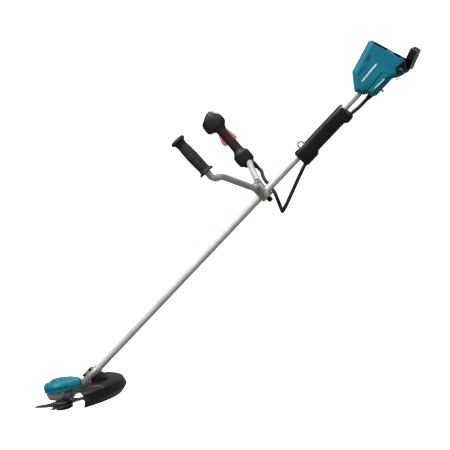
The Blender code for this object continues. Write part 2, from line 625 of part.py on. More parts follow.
def make_control_grip(frame, shaft):
    """Right grip with the cable box below, the finger controls and the button head above."""
    sections = [(-38, -23, 13, 17.5), (-28, -32, 25, 22), (-2, -35, 27, 23), (20, -34, 24, 22), (31, -22, 16, 18),
                (40, -17, 17, 17), (112, -17, 17, 17), (124, -18, 18, 18), (140, -26, 31, 20),
                (146, -46, 34, 21), (168, -46, 34.5, 21), (181, -44, 28, 21), (195, -19, 19.5, 18), (203, 2, 14, 12)]
    rings = [grip_section(*section) for section in sections]
    panel = design_frame("panel_frame", frame, PANEL_CENTRE, PANEL_TILT)
    route = bar_route()
    route.append(route[-1] + (route[-1] - route[-2]).normalized())
    bar_room = guide("grip_bar_room", swept(route, BAR_RADIUS + 2 * GAP, sides=12), shaft)
    gland_room = guide("grip_gland_room", swept(smooth_route([(-6.9, 254.6, 133), (-5.4, 252.4, 98)], 50), 10.2,
                                                sides=16), shaft)
    cutters = [bar_room,
               guide("mechanism_room", block((-12.2, -8.7, 58), (12.4, 9.1, 158)), frame),
               guide("head_room", block((-38, -15, 150), (20, 15, 176)), frame),
               guide("trigger_slot", block((-34, -6.3, 66), (-2, 6.3, 127)), frame),
               guide("lever_slot", block((3, -6.3, 62), (32, 6.3, 128)), frame),
               guide("trigger_pin_hole", rod((TRIGGER_PIVOT[0], -11.8, TRIGGER_PIVOT[1]),
                                             (TRIGGER_PIVOT[0], 11.8, TRIGGER_PIVOT[1]), 2.3, 12), frame),
               guide("lever_pin_hole", rod((LEVER_PIVOT[0], -11.8, LEVER_PIVOT[1]),
                                           (LEVER_PIVOT[0], 11.8, LEVER_PIVOT[1]), 2.3, 12), frame),
               guide("panel_seat", block((-3, -14, -15), (15, 14, 15)), panel),
               guide("button_wells", merged("wells", rod((-12, 0, 7.2), (0, 0, 7.2), 6.6, 14),
                                            rod((-12, 0, -7.2), (0, 0, -7.2), 6.6, 14)), panel)]
    for name, low, high in (("left", -60, -GAP / 2), ("right", GAP / 2, 60)):
        half = part("control_grip_" + name, loft(rings), frame, "black_plastic")
        cut(half, gland_room, *cutters)
        boolean(half, 'INTERSECT', guide("grip_keep_" + name, block((-80, low, -60), (80, high, 220)), frame))

    finger_piece("throttle_trigger", frame, TRIGGER_PIVOT,
                 [(-12.5, 121), (-17.5, 121.5), (-29.5, 88), (-29.5, 74), (-26, 70.5), (-18, 71), (-12, 98),
                  (-4.5, 111), (-4.5, 121)])
    finger_piece("lock_off_lever", frame, LEVER_PIVOT,
                 [(12.5, 123), (16.5, 123), (26, 73), (25, 68.5), (21, 67.5), (14, 69), (9, 90), (5, 111), (5, 123)])
    for name, pivot in (("trigger_pin", TRIGGER_PIVOT), ("lever_pin", LEVER_PIVOT)):
        pin = rod((pivot[0], -11.4, pivot[1]), (pivot[0], 11.4, pivot[1]), 2.0, 12)
        part(name, pin, frame, "bright_steel")
    for name, pivot in (("trigger_spring", TRIGGER_PIVOT), ("lever_spring", LEVER_PIVOT)):
        coil = pipe((pivot[0], 6.6, pivot[1]), (pivot[0], 8.6, pivot[1]), 3.4, 2.3, 12)
        part(name, coil, frame, "bright_steel")
    part("main_switch", block((-6, -4, 59), (2, 4, 78)), frame, "black_plastic", flat=True)

    plate = part("display_panel", block((-2.7, -13.6, -14.6), (-0.9, 13.6, 14.6)), panel, "grey_panel", flat=True)
    for name, z, finish in (("power_button", 7.2, "red_plastic"), ("reverse_button", -7.2, "black_plastic")):
        cut(plate, guide(name + "_hole", rod((-8, 0, z), (4, 0, z), 4.9, 14), panel))
        shape = turned([(0, 0.8), (4.0, 0.8), (4.5, 0.2), (4.5, -3.4), (6.1, -3.4), (6.1, -5), (0, -5)], 14,
                       (0, 0, z), (1, 0, 0))
        part(name, shape, panel, finish, place=(0, 0, z))


def finger_piece(name, frame, pivot, outline):
    """A trigger or lever cut from a plate, hung on its pin, with its origin on the pin's axis."""
    bm = prism(rounded(outline, 2.0, 2), -5.6, 5.6)
    piece = part(name, bm, frame, "red_plastic", place=(pivot[0], 0, pivot[1]))
    cut(piece, guide(name + "_bore", rod((pivot[0], -20, pivot[1]), (pivot[0], 20, pivot[1]), 2.3, 12), frame))


# ---- cable ----------------------------------------------------------------------------------
def make_cable(shaft):
    """The control cable from the right grip, under the tube, through the sleeve to the housing."""
    points = smooth_route(CABLE_ROUTE, 18)
    curve = bpy.data.curves.new("control_cable", 'CURVE')
    curve.dimensions = '3D'
    curve.bevel_depth = CABLE_RADIUS * MM
    curve.bevel_resolution = 2
    curve.use_fill_caps = True
    line = curve.splines.new('POLY')
    line.points.add(len(points) - 1)
    for spot, point in zip(line.points, points):
        spot.co = (*(point * MM), 1.0)
    cable = bpy.data.objects.new("control_cable", curve)
    bpy.context.scene.collection.objects.link(cable)
    cable.parent = shaft
    curve.materials.append(finish_material("control_cable", "black_rubber"))

    bore = CABLE_RADIUS + 3 * GAP
    top, end = Vector((-6.4, 253.9, 122.6)), Vector(CABLE_ROUTE[1])
    boot = [(9.2, 0), (9.2, 5), (8.6, 8), (8, 21), (bore, 21), (bore, 0)]
    part("cable_gland", turned(boot, 20, top, end - top), shaft, "black_rubber")
    inlet = [(9, 0), (9, 16), (8.6, 20), (8, 24), (bore, 24), (bore, 0)]
    part("housing_gland", turned(inlet, 20, (503, 0, -33), (-1, 0, 0)), shaft, "black_rubber")


# ---- battery housing --------------------------------------------------------------------------
def shrink(outline, amount):
    """Parallel offset of a closed outline towards its inside (outline runs anticlockwise seen from -y)."""
    result = []
    count = len(outline)
    for index in range(count):
        before, here, after = (Vector(outline[(index + k) % count]) for k in (-1, 0, 1))
        first, second = (here - before).normalized(), (after - here).normalized()
        inward_first, inward_second = Vector((-first.y, first.x)), Vector((-second.y, second.x))
        mitre = (inward_first + inward_second).normalized()
        result.append(tuple(here + mitre * amount / max(0.3, mitre.dot(inward_first))))
    return result


def make_housing(shaft, bay):
    """Two half shells: electronics in front, two battery bays open to the rear."""
    skin = [(GAP / 2, 0), (33, 0), (40, 2), (44.5, 6), (HOUSING_HALF_WIDTH, 11)]
    electronics = [(525, 62.5), (512.5, 59.3), (482, 23), (478.5, 17), (511.5, 17), (511.5, -16), (495, -19),
                   (503.5, -42.3), (554, -42.3)]
    upper, lower = UPPER_BAY, LOWER_BAY
    deep, width = -BAY_DEPTH, BAY_HALF_WIDTH
    cutters = [guide("electronics_room", prism(electronics, -34, 34), shaft),
               guide("upper_bay", block((deep, -width, upper[0]), (20, width, upper[1])), bay),
               guide("lower_bay_deep", block((deep, -width, -108), (20, width, lower[1])), bay),
               guide("lower_bay_middle", block((-58, -width, -120), (21, width, -107)), bay),
               guide("lower_bay_mouth", block((-38, -width, lower[0]), (22, width, -119)), bay),
               guide("housing_tube_room", rod((400, 0, 0), (TUBE_REAR + GAP, 0, 0), TUBE_RADIUS + GAP, 24), shaft),
               guide("lead_exit", rod((500, 0, 0), (520, 0, 0), 5, 12), shaft),
               guide("housing_gland_room", rod((470, 0, -33), (506, 0, -33), 9.3, 20), shaft)]
    lower_panel = [(490, -15), (530, -15.4), (579, -9.4), (597, -40), (597, -80), (490, -80)]
    rows = [(-115, -87, -24.5), (-59, -36, -24.5), (-101, -71, -31), (-66, -37, -31)]
    for name, side in (("left", -1), ("right", 1)):
        rings = [[(x, side * y, z) for x, z in shrink(HOUSING_OUTLINE, inset)] for y, inset in skin]
        half = part("battery_housing_" + name, loft(rings), shaft, "teal")
        cut(half, *cutters)
        step = sorted((side * (HOUSING_HALF_WIDTH - 3), side * 60))
        cut(half, guide("lower_panel_step_" + name, prism(lower_panel, *step), shaft))
        vent_side = sorted((side * 30, side * 60))
        slots = [block((x0, vent_side[0], z - 1.3), (x1, vent_side[1], z + 1.3)) for x0, x1, z in rows]
        cut(half, guide("vent_slots_" + name, merged("vents", *slots), bay))

    part("controller", block((514.5, -30, -13), (529.5, 30, 37)), shaft, "circuit_green", flat=True)
    for name, z in (("upper", -40.0), ("lower", -99.0)):
        shape = block((deep + GAP, -17, z - 7), (deep + 13, 17, z + 7))
        part("battery_terminal_" + name, shape, bay, "black_plastic", flat=True)


def make_rear_guard(bay):
    """Bumper below the lower bay, with a round cheek on each side of the housing."""
    profile = [(0.8, -140), (4, -135.5), (45, -134), (49, -138), (46.5, -157.5), (-20, -162.5), (-24.5, -159.4)]
    outline = rounded([(-100, -GUARD_HALF_WIDTH), (49.5, -GUARD_HALF_WIDTH), (49.5, GUARD_HALF_WIDTH),
                       (-100, GUARD_HALF_WIDTH)], 24, 5)
    guard = part("rear_guard", prism(rounded(profile, 3, 2), -GUARD_HALF_WIDTH, GUARD_HALF_WIDTH), bay, "black_plastic")
    boolean(guard, 'INTERSECT', guide("guard_plan", plate(outline, -200, -100), bay))
    cheek = circle_points((-31, -138.5), 16.5, 14, 55, 250) + [(-20, -160.5), (12, -156), (12, -137)]
    pocket = [(8, -120), (8, -146), (12, -152), (36, -151), (41, -146), (41, -120)]
    for name, side in (("left", -1), ("right", 1)):
        sides = sorted((side * (HOUSING_HALF_WIDTH + GAP), side * GUARD_HALF_WIDTH))
        boolean(guard, 'UNION', guide("guard_cheek_" + name, prism(cheek, *sides), bay))
        cut(guard, guide("guard_pocket_" + name, prism(pocket, *sorted((side * 3, side * 40))), bay))


def main():
    clear_scene()
    eye_up = Matrix.Rotation(-math.radians(SHAFT_TILT), 4, 'Y') @ Vector(EYE)
    shaft = design_frame("shaft_frame", None, -eye_up, SHAFT_TILT)
    head = design_frame("head_frame", shaft, HEAD_CENTRE, -HEAD_TILT)
    bay = design_frame("bay_frame", shaft, HOUSING_CORNER, BAY_TILT)
    right_grip = axis_frame("right_grip_frame", shaft, RIGHT_FOOT, RIGHT_HEAD)
    left_grip = axis_frame("left_grip_frame", shaft, LEFT_FOOT, LEFT_HEAD)
    make_cutting_set(head)
    make_motor(head, shaft)
    make_guard(head, shaft)
    make_tube(shaft)
    make_sleeve(shaft)
    make_hanger(shaft)
    make_clamp(shaft)
    make_handlebar(shaft)
    make_left_grip(left_grip)
    make_control_grip(right_grip, shaft)
    make_cable(shaft)
    make_housing(shaft, bay)
    make_rear_guard(bay)


main()
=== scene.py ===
"""Battery brush cutter: the visible pieces, their finishes and the studio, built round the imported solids.

Sizes inside the makers are millimetres in one of the tool's design frames, and every piece is
written in metres in the shared frame, whose origin is the centre of the harness eye:
  shaft - x rearwards along the main tube, z up across it, origin at the handlebar clamp
  head  - origin at the blade's centre, z up the spindle
  bay   - x out of the battery housing's rear face, z up along that face
  grip  - z up a grip of the handlebar, x rearwards, origin where the grip starts
  panel - x out of the button panel on top of the right grip, z up along it
"""
import math

import bmesh
import bpy
from mathutils import Matrix, Vector


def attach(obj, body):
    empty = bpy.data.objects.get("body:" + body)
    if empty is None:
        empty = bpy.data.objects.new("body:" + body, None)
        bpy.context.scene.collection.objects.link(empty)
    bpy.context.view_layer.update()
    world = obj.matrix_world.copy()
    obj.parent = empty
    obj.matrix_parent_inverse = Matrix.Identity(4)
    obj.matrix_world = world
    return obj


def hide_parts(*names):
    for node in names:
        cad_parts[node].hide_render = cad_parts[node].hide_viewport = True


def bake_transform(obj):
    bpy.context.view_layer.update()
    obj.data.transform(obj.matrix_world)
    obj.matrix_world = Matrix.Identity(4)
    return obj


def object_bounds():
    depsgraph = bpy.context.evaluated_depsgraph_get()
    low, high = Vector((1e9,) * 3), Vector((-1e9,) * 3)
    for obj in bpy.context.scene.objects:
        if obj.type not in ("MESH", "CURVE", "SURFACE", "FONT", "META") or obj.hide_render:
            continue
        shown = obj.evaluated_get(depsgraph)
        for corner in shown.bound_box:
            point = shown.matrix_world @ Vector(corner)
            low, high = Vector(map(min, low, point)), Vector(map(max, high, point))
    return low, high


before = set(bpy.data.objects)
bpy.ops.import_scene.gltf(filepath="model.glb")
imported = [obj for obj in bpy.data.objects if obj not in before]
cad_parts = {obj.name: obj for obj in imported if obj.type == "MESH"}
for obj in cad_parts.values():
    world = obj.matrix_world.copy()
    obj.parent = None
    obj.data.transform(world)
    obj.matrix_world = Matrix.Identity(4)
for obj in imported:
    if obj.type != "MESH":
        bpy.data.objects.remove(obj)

bl_info = {
    "name": "Battery brush cutter",
    "version": (1, 0, 0),
    "blender": (4, 5, 0),
    "location": "View3D > Sidebar > Brush cutter",
    "description": "Builds a battery brush cutter with its finishes, studio floor, light and camera",
    "category": "Add Mesh",
}

CAD_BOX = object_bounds()

# ---- places and sizes, in millimetres ------------------------------------------------------
MM = 0.001
GAP = 0.3                               # clearance between neighbouring pieces
SHAFT_TILT = 47.0                       # slope of the main tube, degrees
HEAD_TILT = 35.0                        # blade plane against the main tube, degrees
BAY_TILT = 15.5                         # way out of the battery bays against the main tube, degrees
PANEL_TILT = 30.6                       # button panel against its grip, degrees
EYE = (212.0, 0.0, 21.0)                # centre of the harness eye
HEAD_CENTRE = (-1046.0, 0.0, 7.0)       # centre of the blade
HOUSING_CORNER = (621.0, 0.0, 91.5)     # top of the housing's rear face
RIGHT_FOOT = (-11.0, 247.0, 160.0)      # where the straight right end of the bar starts
RIGHT_TIP = (-2.0, 262.0, 300.0)        # a point higher up on the same straight end
LEFT_FOOT = (-18.0, -244.0, 160.0)
LEFT_TIP = (-9.0, -258.0, 300.0)
PANEL_CENTRE = (25.0, 0.0, 186.5)       # in the right grip's frame
TUBE_RADIUS = 12.0
TUBE_WALL = 1.5
TUBE_ENDS = (-925.0, 508.0)
NECK_BOLTS = (-912.0, -884.0)
BAR_WALL = 1.5
BAR_CENTRE = (5.0, 0.0, 33.0)           # middle of the bar, inside the clamp
BAR_RISE = [(5, 26, 33), (5, 40, 33), (4.3, 55, 38), (-1, 130, 83)]
RIGHT_BEND = [(-3, 187, 116), (-5, 214, 125), (-8.5, 232, 127)]
LEFT_BEND = [(-5, 186, 116), (-9, 212, 125), (-14, 230, 127)]
CLAMP_BOLT_SPOTS = [(-9.4, -15.6), (-9.4, 15.6), (19.4, -15.6), (19.4, 15.6)]
TRIGGER_PIVOT = (-8.5, 116.0)           # x and z in the right grip's frame
LEVER_PIVOT = (9.0, 117.0)
CABLE_ROUTE = [(-6.5, 254, 125), (-5.5, 252.5, 101), (-5.1, 251.9, 92), (-2, 238, 79), (0, 208, 68),
               (5, 166, 55), (10, 126, 38), (14, 101, 14), (12, 89, -15), (3, 85, -40), (-7, 84, -62),
               (-11, 77, -76), (-9, 58, -83), (4, 38, -83), (28, 27, -78), (85, 18, -60), (140, 6, -43),
               (178, 0, -32.5), (208, 0, -27), (240, 0, -24), (300, 0, -23.5), (360, 0, -24.5),
               (402, 0, -28.5), (436, 0, -32.4), (460, 0, -33), (480, 0, -33), (500, 0, -33)]
HOUSING_OUTLINE = [(621, 91.5), (510, 61.7), (477.5, 23.3), (468.5, 11.3), (483, -20.7), (492, -23), (500, -46.5),
                   (578, -45.3), (604, -61.5), (640, -67), (658.1, -42.4)]
HOUSING_HALF_WIDTH = 46.0
GUARD_HALF_WIDTH = 50.0
BAY_HALF_WIDTH = 39.0
BAY_DEPTH = 94.0
UPPER_BAY = (-66.5, -15.0)
LOWER_BAY = (-136.0, -90.5)             # low and high edge of its mouth, down the rear face
LOWER_BAY_STEPS = (-108.0, -120.0)      # its floor climbs in two steps towards the rear
MOTOR_SPLIT = 46.5                      # height of the joint between the motor's base and its cap
MOTOR_TOP = 80.0
BOSS_ANGLES = (60, 125, 180, 235, 300)

ROOT = "root"
CUTTING = "cutting_set"
BARS = "handlebar_assembly"


# ---- design frames: millimetres in, metres in the shared frame out --------------------------
def rise(degrees):
    """A turn about +Y that lifts the x axis."""
    return Matrix.Rotation(-math.radians(degrees), 4, 'Y')


def standing(foot, tip):
    """A frame at foot with z towards tip and x as near the tube's direction as it can be."""
    up = (Vector(tip) - Vector(foot)).normalized()
    ahead = (Vector((1, 0, 0)) - up * up.x).normalized()
    across = up.cross(ahead)
    return Matrix.Translation(foot) @ Matrix((ahead, across, up)).transposed().to_4x4()


SHAFT = (Matrix.Translation(-(rise(SHAFT_TILT) @ Vector(EYE)) * MM) @ rise(SHAFT_TILT)
         @ Matrix.Diagonal((MM, MM, MM, 1)))
HEAD = SHAFT @ Matrix.Translation(HEAD_CENTRE) @ rise(-HEAD_TILT)
BAY = SHAFT @ Matrix.Translation(HOUSING_CORNER) @ rise(BAY_TILT)
RIGHT_GRIP = SHAFT @ standing(RIGHT_FOOT, RIGHT_TIP)
LEFT_GRIP = SHAFT @ standing(LEFT_FOOT, LEFT_TIP)
PANEL = RIGHT_GRIP @ Matrix.Translation(PANEL_CENTRE) @ rise(PANEL_TILT)


# ---- shapes ---------------------------------------------------------------------------------
def polar(radius, angle):
    """The point at a radius and an angle in radians."""
    return radius * math.cos(angle), radius * math.sin(angle)


def span(side, near, far):
    """The lower and the higher y between two distances from the middle, on one side of the tool."""
    return sorted((side * near, side * far))


def block(low, high):
    """A box between two opposite corners."""
    bm = bmesh.new()
    bmesh.ops.create_cube(bm, size=1.0)
    low, high = Vector(low), Vector(high)
    bmesh.ops.scale(bm, verts=bm.verts, vec=high - low)
    bmesh.ops.translate(bm, verts=bm.verts, vec=(low + high) / 2)
    return bm


def soft_block(low, high, radius, steps=3):
    """A block with all its edges rounded."""
    bm = block(low, high)
    bmesh.ops.bevel(bm, geom=bm.edges[:], offset=radius, segments=steps, profile=0.5, affect='EDGES')
    return bm


def towards(direction):
    """The turn that takes +Z to a direction."""
    return Vector((0, 0, 1)).rotation_difference(Vector(direction)).to_matrix().to_4x4()


def turned(profile, sides=64, place=(0, 0, 0), direction=(0, 0, 1)):
    """A closed ring of (radius, height) corners, or a run that starts and ends on the axis, spun round."""
    bm = bmesh.new()
    corners = [bm.verts.new((radius, 0.0, height)) for radius, height in profile]
    pairs = list(zip(corners, corners[1:]))
    if not (profile[0][0] == 0 and profile[-1][0] == 0):
        pairs.append((corners[-1], corners[0]))
    edges = [bm.edges.new(pair) for pair in pairs]
    bmesh.ops.spin(bm, geom=corners + edges, cent=(0, 0, 0), axis=(0, 0, 1), dvec=(0, 0, 0),
                   angle=2 * math.pi, steps=sides, use_merge=True)
    bmesh.ops.remove_doubles(bm, verts=bm.verts, dist=0.001)
    bmesh.ops.transform(bm, matrix=Matrix.Translation(place) @ towards(direction), verts=bm.verts)
    return bm


def rod(start, end, radius, sides=48):
    """A solid cylinder from one point to another."""
    start, end = Vector(start), Vector(end)
    length = (end - start).length
    return turned([(0, 0), (radius, 0), (radius, length), (0, length)], sides, start, end - start)


def pipe(start, end, outer, inner, sides=64):
    """A tube with square ends from one point to another."""
    start, end = Vector(start), Vector(end)
    length = (end - start).length
    return turned([(outer, length), (outer, 0), (inner, 0), (inner, length)], sides, start, end - start)


def prism(outline, low, high):
    """An outline in x and z, extruded along y from low to high."""
    bm = bmesh.new()
    face = bm.faces.new([bm.verts.new((x, low, z)) for x, z in outline])
    grown = bmesh.ops.extrude_face_region(bm, geom=[face])["geom"]
    bmesh.ops.translate(bm, verts=[v for v in grown if isinstance(v, bmesh.types.BMVert)], vec=(0, high - low, 0))
    return bm


def rounded(outline, radius, steps=5):
    """Replace each corner of a closed outline with an arc of about the given radius."""
    result = []
    for index, corner in enumerate(outline):
        here = Vector(corner)
        before = Vector(outline[index - 1]) - here
        after = Vector(outline[(index + 1) % len(outline)]) - here
        reach = min(radius, before.length * 0.45, after.length * 0.45)
        start = here + before.normalized() * reach
        end = here + after.normalized() * reach
        for step in range(steps + 1):
            t = step / steps
            result.append(tuple(start * (1 - t) ** 2 + here * 2 * t * (1 - t) + end * t ** 2))
    return result


def shrink(outline, amount):
    """Parallel offset of a closed outline towards its inside."""
    result = []
    for index, corner in enumerate(outline):
        here = Vector(corner)
        first = (here - Vector(outline[index - 1])).normalized()
        second = (Vector(outline[(index + 1) % len(outline)]) - here).normalized()
        inward = Vector((-first.y, first.x))
        mitre = (inward + Vector((-second.y, second.x))).normalized()
        result.append(tuple(here + mitre * amount / max(0.3, mitre.dot(inward))))
    return result


def bridge(bm, loops):
    """Quads from each loop of corners to the next."""
    for lower, upper in zip(loops, loops[1:]):
        for index in range(len(lower)):
            after = (index + 1) % len(lower)
            bm.faces.new((lower[index], lower[after], upper[after], upper[index]))


def loft(rings):
    """A closed skin through rings of equal vertex count, capped at both ends."""
    bm = bmesh.new()
    loops = [[bm.verts.new(point) for point in ring] for ring in rings]
    bridge(bm, loops)
    bm.faces.new(list(reversed(loops[0])))
    bm.faces.new(loops[-1])
    return bm


def smooth_route(points, spacing):
    """Points at an even spacing along a smooth curve through the given ones."""
    corners = [Vector(p) for p in points]
    padded = [2 * corners[0] - corners[1]] + corners + [2 * corners[-1] - corners[-2]]
    fine = []
    for a, b, c, d in zip(padded, padded[1:], padded[2:], padded[3:]):
        for step in range(40):
            t = step / 40
            fine.append(0.5 * ((2 * b) + (c - a) * t + (2 * a - 5 * b + 4 * c - d) * t ** 2
                               + (3 * b - a - 3 * c + d) * t ** 3))
    fine.append(corners[-1])
    total = sum((q - p).length for p, q in zip(fine, fine[1:]))
    wanted = total / max(1, round(total / spacing))
    result, travelled = [fine[0]], 0.0
    for p, q in zip(fine, fine[1:]):
        travelled += (q - p).length
        if travelled >= wanted * len(result) - 1e-6:
            result.append(q)
    result[-1] = fine[-1]
    return result


def swept(route, outer, inner=0.0, sides=32):
    """A round bar or, with an inner radius, an open tube along a route."""
    turn = [(math.cos(2 * math.pi * k / sides), math.sin(2 * math.pi * k / sides)) for k in range(sides)]
    rings_out, rings_in, normal = [], [], None
    for index, here in enumerate(route):
        tangent = (route[min(index + 1, len(route) - 1)] - route[max(index - 1, 0)]).normalized()
        normal = tangent.orthogonal() if normal is None else normal
        normal = (normal - tangent * normal.dot(tangent)).normalized()
        side = tangent.cross(normal)
        rings_out.append([here + (normal * c + side * s) * outer for c, s in turn])
        rings_in.append([here + (normal * c + side * s) * inner for c, s in turn])
    if not inner:
        return loft(rings_out)
    bm = bmesh.new()
    loops = [[bm.verts.new(point) for point in ring] for ring in rings_out + rings_in[::-1]]
    bridge(bm, loops + loops[:1])
    return bm


def squarish(station, centre, half, power, count, standing):
    """A ring between an ellipse and a rectangle, across the z axis if it is standing, or else the x axis."""
    ring = []
    for step in range(count):
        angle = 2 * math.pi * (step + 0.5) / count
        c, s = math.cos(angle), math.sin(angle)
        first = centre[0] + half[0] * math.copysign(abs(c) ** power, c)
        second = centre[1] + half[1] * math.copysign(abs(s) ** power, s)
        ring.append((first, second, station) if standing else (station, first, second))
    return ring


def merged(*shapes):
    """Several shapes as one mesh."""
    result = bmesh.new()
    for shape in shapes:
        carrier = mesh_of("carrier", shape)
        result.from_mesh(carrier)
        bpy.data.meshes.remove(carrier)
    return result


# ---- pieces ---------------------------------------------------------------------------------
def mesh_of(name, bm):
    """A mesh that holds a shape; the shape itself goes."""
    mesh = bpy.data.meshes.new(name)
    bm.to_mesh(mesh)
    bm.free()
    return mesh


def linked(name, data):
    """A new object of the scene, at the origin."""
    made = bpy.data.objects.new(name, data)
    bpy.context.scene.collection.objects.link(made)
    return made


def solid(name, bm, place):
    """A shape in a design frame as an object at the origin, with its place in its mesh."""
    bmesh.ops.remove_doubles(bm, verts=bm.verts, dist=0.001)
    bmesh.ops.transform(bm, matrix=place, verts=bm.verts)
    bmesh.ops.recalc_face_normals(bm, faces=bm.faces)
    return linked(name, mesh_of(name, bm))


def baked(target):
    """Replace a piece's mesh with what its modifiers make of it."""
    graph = bpy.context.evaluated_depsgraph_get()
    made = bpy.data.meshes.new_from_object(target.evaluated_get(graph))
    target.modifiers.clear()
    spare = target.data
    target.data = made
    if spare.users == 0:
        bpy.data.meshes.remove(spare)
    return target


def carve(target, *cutters, operation='DIFFERENCE'):
    """Take solids out of a piece, or keep what lies in them."""
    for cutter in cutters:
        step = target.modifiers.new("Carve", 'BOOLEAN')
        step.object = cutter
        step.operation = operation
        step.solver = 'EXACT'
    baked(target)
    for cutter in cutters:
        bpy.data.objects.remove(cutter)
    return target


def refined(name, node):
    """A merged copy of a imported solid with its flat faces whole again."""
    bm = bmesh.new()
    bm.from_mesh(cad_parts[node].data)
    bmesh.ops.remove_doubles(bm, verts=bm.verts, dist=1e-6)
    bmesh.ops.dissolve_limit(bm, angle_limit=math.radians(0.8), verts=bm.verts, edges=bm.edges)
    return linked(name, mesh_of(name, bm))


def complete(made, finish, body, stands_for=(), rounding=0.0, steps=2, crease=32.0):
    """Shade a piece, round its edges, give it its finish and tie it to its body."""
    made.data.materials.clear()
    made.data.materials.append(finish)
    made.data.polygons.foreach_set("use_smooth", [True] * len(made.data.polygons))
    if rounding:
        edge = made.modifiers.new("Edge rounding", 'BEVEL')
        edge.width = rounding * MM
        edge.segments = steps
        edge.limit_method = 'ANGLE'
        edge.angle_limit = math.radians(crease)
        edge.harden_normals = True
    else:
        made.data.set_sharp_from_angle(angle=math.radians(crease))
    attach(made, body)
    if stands_for:
        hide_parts(*stands_for)
    return made


# ---- finishes -------------------------------------------------------------------------------
def moulded_plastic(name, colour, roughness, grain=0.35, coat=0.0, reflection=0.5):
    """Injection-moulded plastic: fine spark-eroded grain, a slow drift of colour, and light scuffs."""
    material = bpy.data.materials.new(name)
    material.use_nodes = True
    nodes, links = material.node_tree.nodes, material.node_tree.links
    shader = nodes["Principled BSDF"]
    shader.label = "Moulded plastic"
    shader.inputs["Specular IOR Level"].default_value = reflection
    shader.inputs["Coat Weight"].default_value = coat
    shader.inputs["Coat Roughness"].default_value = 0.12

    tint = nodes.new("NodeFrame")
    tint.label = "Colour of the moulding"
    skin = nodes.new("NodeFrame")
    skin.label = "Spark-eroded grain"
    scuffs = nodes.new("NodeFrame")
    scuffs.label = "Scuffs and polish from use"

    place = nodes.new("ShaderNodeTexCoord")
    place.label = "The tool's own coordinates"
    drift = nodes.new("ShaderNodeTexNoise")
    drift.label = "Slow flow marks in the plastic"
    drift.inputs["Scale"].default_value = 14.0
    drift.inputs["Detail"].default_value = 3.0
    shade = nodes.new("ShaderNodeValToRGB")
    shade.label = "A little darker to a little lighter"
    shade.color_ramp.elements[0].position = 0.3
    shade.color_ramp.elements[0].color = (*[c * 0.86 for c in colour], 1)
    shade.color_ramp.elements[1].position = 0.72
    shade.color_ramp.elements[1].color = (*[min(1.0, c * 1.12 + 0.002) for c in colour], 1)

    scratch_turn = nodes.new("ShaderNodeMapping")
    scratch_turn.label = "Stretch scuffs along the tool"
    scratch_turn.vector_type = 'TEXTURE'
    scratch_turn.inputs["Rotation"].default_value = (0.0, -math.radians(SHAFT_TILT), 0.0)
    scratch_turn.inputs["Scale"].default_value = (9.0, 1.0, 1.0)
    scratch = nodes.new("ShaderNodeTexNoise")
    scratch.label = "Fine rubbed streaks"
    scratch.inputs["Scale"].default_value = 420.0
    scratch.inputs["Detail"].default_value = 4.0
    scratch_mask = nodes.new("ShaderNodeMapRange")
    scratch_mask.label = "Only the strongest streaks"
    scratch_mask.inputs["From Min"].default_value = 0.62
    scratch_mask.inputs["From Max"].default_value = 0.78
    worn = nodes.new("ShaderNodeMix")
    worn.label = "Streaks lift the colour"
    worn.data_type = 'RGBA'
    worn.inputs["B"].default_value = (*[min(1.0, c * 1.35 + 0.02) for c in colour], 1)
    weak = nodes.new("ShaderNodeMath")
    weak.label = "Scuffs stay faint"
    weak.operation = 'MULTIPLY'
    weak.inputs[1].default_value = 0.3

    polish = nodes.new("ShaderNodeTexNoise")
    polish.label = "Patches polished by hands"
    polish.inputs["Scale"].default_value = 32.0
    polish.inputs["Detail"].default_value = 5.0
    gloss = nodes.new("ShaderNodeMapRange")
    gloss.label = "Roughness from patch to patch"
    gloss.inputs["To Min"].default_value = roughness - 0.07
    gloss.inputs["To Max"].default_value = roughness + 0.09

    pits = nodes.new("ShaderNodeTexVoronoi")
    pits.label = "Grain cells, about half a millimetre"
    pits.inputs["Scale"].default_value = 2100.0
    relief = nodes.new("ShaderNodeBump")
    relief.label = "Height of the grain"
    relief.inputs["Strength"].default_value = grain
    relief.inputs["Distance"].default_value = 0.00006

    spots = ((place, None, (-1500, 0)),
             (drift, tint, (-1180, 320)), (shade, tint, (-960, 320)), (worn, tint, (-420, 320)),
             (scratch_turn, scuffs, (-1180, 20)), (scratch, scuffs, (-980, 20)), (scratch_mask, scuffs, (-780, 20)),
             (weak, scuffs, (-600, 20)), (polish, scuffs, (-980, -260)), (gloss, scuffs, (-780, -260)),
             (pits, skin, (-780, -560)), (relief, skin, (-560, -560)))
    for node, group, spot in spots:
        node.parent = group
        node.location = spot
    links.new(place.outputs["Object"], drift.inputs["Vector"])
    links.new(drift.outputs["Fac"], shade.inputs["Fac"])
    links.new(place.outputs["Object"], scratch_turn.inputs["Vector"])
    links.new(scratch_turn.outputs["Vector"], scratch.inputs["Vector"])
    links.new(scratch.outputs["Fac"], scratch_mask.inputs["Value"])
    links.new(scratch_mask.outputs["Result"], weak.inputs[0])
    links.new(weak.outputs["Value"], worn.inputs["Factor"])
    links.new(shade.outputs["Color"], worn.inputs["A"])
    links.new(worn.outputs["Result"], shader.inputs["Base Color"])
    links.new(place.outputs["Object"], polish.inputs["Vector"])
    links.new(polish.outputs["Fac"], gloss.inputs["Value"])
    links.new(gloss.outputs["Result"], shader.inputs["Roughness"])
    links.new(place.outputs["Object"], pits.inputs["Vector"])
    links.new(pits.outputs["Distance"], relief.inputs["Height"])
    links.new(relief.outputs["Normal"], shader.inputs["Normal"])
    return material


